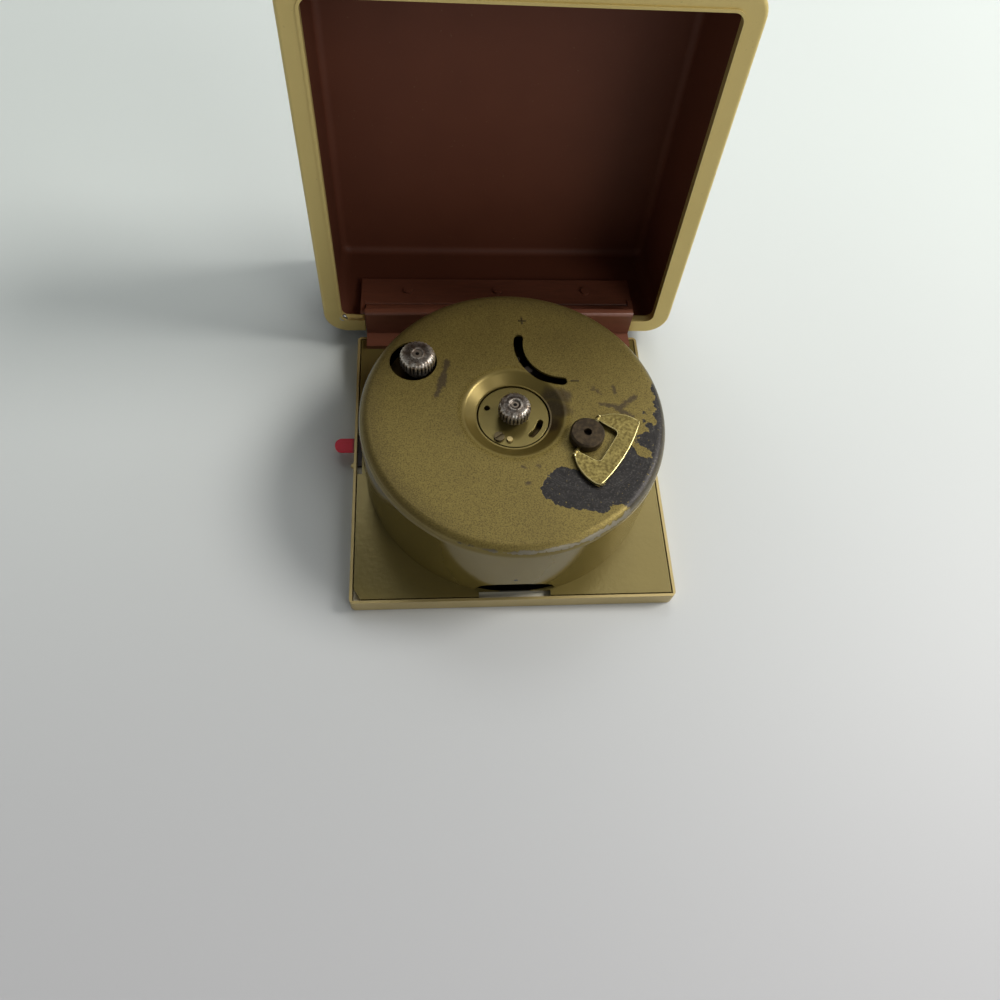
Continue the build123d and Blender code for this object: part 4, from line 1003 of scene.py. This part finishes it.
eyelet_across = -33.8
eyelet_from_edge = 4.2
eyelet_profile = (
    (0.5, -0.8), (0.5, -0.05), (0.85, -0.02), (0.84, 0.06), (0.74, 0.16),
    (0.6, 0.17), (0.5, 0.08), (0.46, -0.3), (0.05, -0.34),
)
rim_face = case_hinge + case_out * pin_behind_face * mm
eyelet_up = case_up * (eyelet_from_edge - pin_from_edge)
eyelet_place = rim_face + (Vector((eyelet_across, 0, 0)) + eyelet_up) * mm
eyelet_shape = turned("rim_eyelet", eyelet_profile, eyelet_place, case_out)
place_piece("rim_eyelet", eyelet_shape, steel, "case")


# Floor, world, lamps and camera. The floor and the lamps are in metres.
floor_half = 4.0
floor_light_ramp = (-0.14, 0.12)
floor_cloud = 0.16
glow_ring = (0.16, 0.8)
glow_strength = 0.76


def stage():
    """A pale floor, painted lighter and cooler toward the back as painted light, that glows far from the
    object so that it meets the sky softly.
    """
    shape = bpy.data.meshes.new("floor")
    corners = [(x, y, 0) for x, y in rectangle(-floor_half, -floor_half, floor_half, floor_half)]
    shape.from_pydata(corners, [], [(0, 1, 2, 3)])
    floor = bpy.data.objects.new("floor", shape)
    bpy.context.scene.collection.objects.link(floor)
    surface = Surface("floor_white")
    # Painted light: the floor's colour is lighter toward the back and darker toward the front
    behind = surface.fade(surface.axes(surface.place)["Y"], *floor_light_ramp)
    shade = surface.mix(behind, colour(192, 191, 193), colour(216, 222, 217))
    clouds = surface.times(surface.noise(floor_cloud / mm, 3), 0.1)
    away = surface.fade(surface.measure("LENGTH", surface.place), *glow_ring)
    surface.set("Emission Color", colour(226, 230, 230))
    surface.set("Emission Strength", surface.times(away, glow_strength))
    shape.materials.append(surface.dress(surface.mix(clouds, shade, colour(186, 188, 188)), 0.55))


def world():
    """Soft sky light, paler at the horizon and weaker on the left."""
    made = bpy.data.worlds.new("studio")
    made.use_nodes = True
    sky = NodeTree(made.node_tree)
    toward = sky.axes(sky.node("ShaderNodeTexCoord").outputs["Generated"])
    by_height = sky.fade(toward["Z"], 0.08, 0.5, first=0.94, second=0.18)
    by_side = sky.fade(toward["X"], -0.35, 0.45, first=0.4, second=1.2)
    # What the lens, metal and glass see is about equally pale all round
    rays = sky.node("ShaderNodeLightPath").outputs
    for ray in ("Is Camera Ray", "Is Glossy Ray", "Is Transmission Ray"):
        by_side = sky.larger(by_side, rays[ray])
    back = sky.tree.nodes["Background"]
    sky.put(back.inputs["Color"], colour(236, 240, 242))
    sky.put(back.inputs["Strength"], sky.times(by_height, by_side))
    bpy.context.scene.world = made


def lamp(name, place, target, size, power, tint):
    light = bpy.data.lights.new(name, "AREA")
    light.shape = "DISK"
    light.size = size
    light.energy = power
    light.color = tint
    held = bpy.data.objects.new(name, light)
    held.location = place
    held.rotation_euler = (Vector(target) - Vector(place)).to_track_quat("-Z", "Y").to_euler()
    bpy.context.scene.collection.objects.link(held)


def camera():
    """The photograph's camera: above and in front, a little to the left, and rolled."""
    eye = Vector((-15.385, -84.043, 149.453)) * mm
    elevation = radians(62.251)
    azimuth = radians(10.205)
    roll = radians(8.226)
    forward = Vector((sin(azimuth) * cos(elevation), cos(azimuth) * cos(elevation), -sin(elevation)))
    level = Vector((cos(azimuth), -sin(azimuth), 0))
    above = level.cross(forward)
    right = cos(roll) * level + sin(roll) * above
    up = cos(roll) * above - sin(roll) * level
    lens = bpy.data.cameras.new("camera")
    lens.sensor_width = 36
    lens.lens = 29.64
    lens.clip_start = 0.005
    held = bpy.data.objects.new("camera", lens)
    held.matrix_world = Matrix.Translation(eye) @ Matrix((right, up, -forward)).transposed().to_4x4()
    bpy.context.scene.collection.objects.link(held)
    bpy.context.scene.camera = held


stage()
world()
lamp("key", (0.53, 0.085, 0.53), (0, 0.01, 0.02), size=0.28, power=4.0, tint=(1.0, 0.98, 0.95))
lamp("sky", (0.32, 0.255, 0.71), (0, 0.01, 0.02), size=0.4, power=0.5, tint=(0.99, 1.0, 1.0))
lamp("side", (0.34, -0.42, 0.42), (-0.01, 0.03, 0.03), size=0.3, power=0.85, tint=(1.0, 0.99, 0.97))
lamp("window", (0.02, 0.44, 0.42), (0, 0.03, 0.02), size=0.5, power=1.25, tint=(0.97, 1.0, 1.0))
camera()
bpy.context.scene.view_settings.view_transform = "Standard"
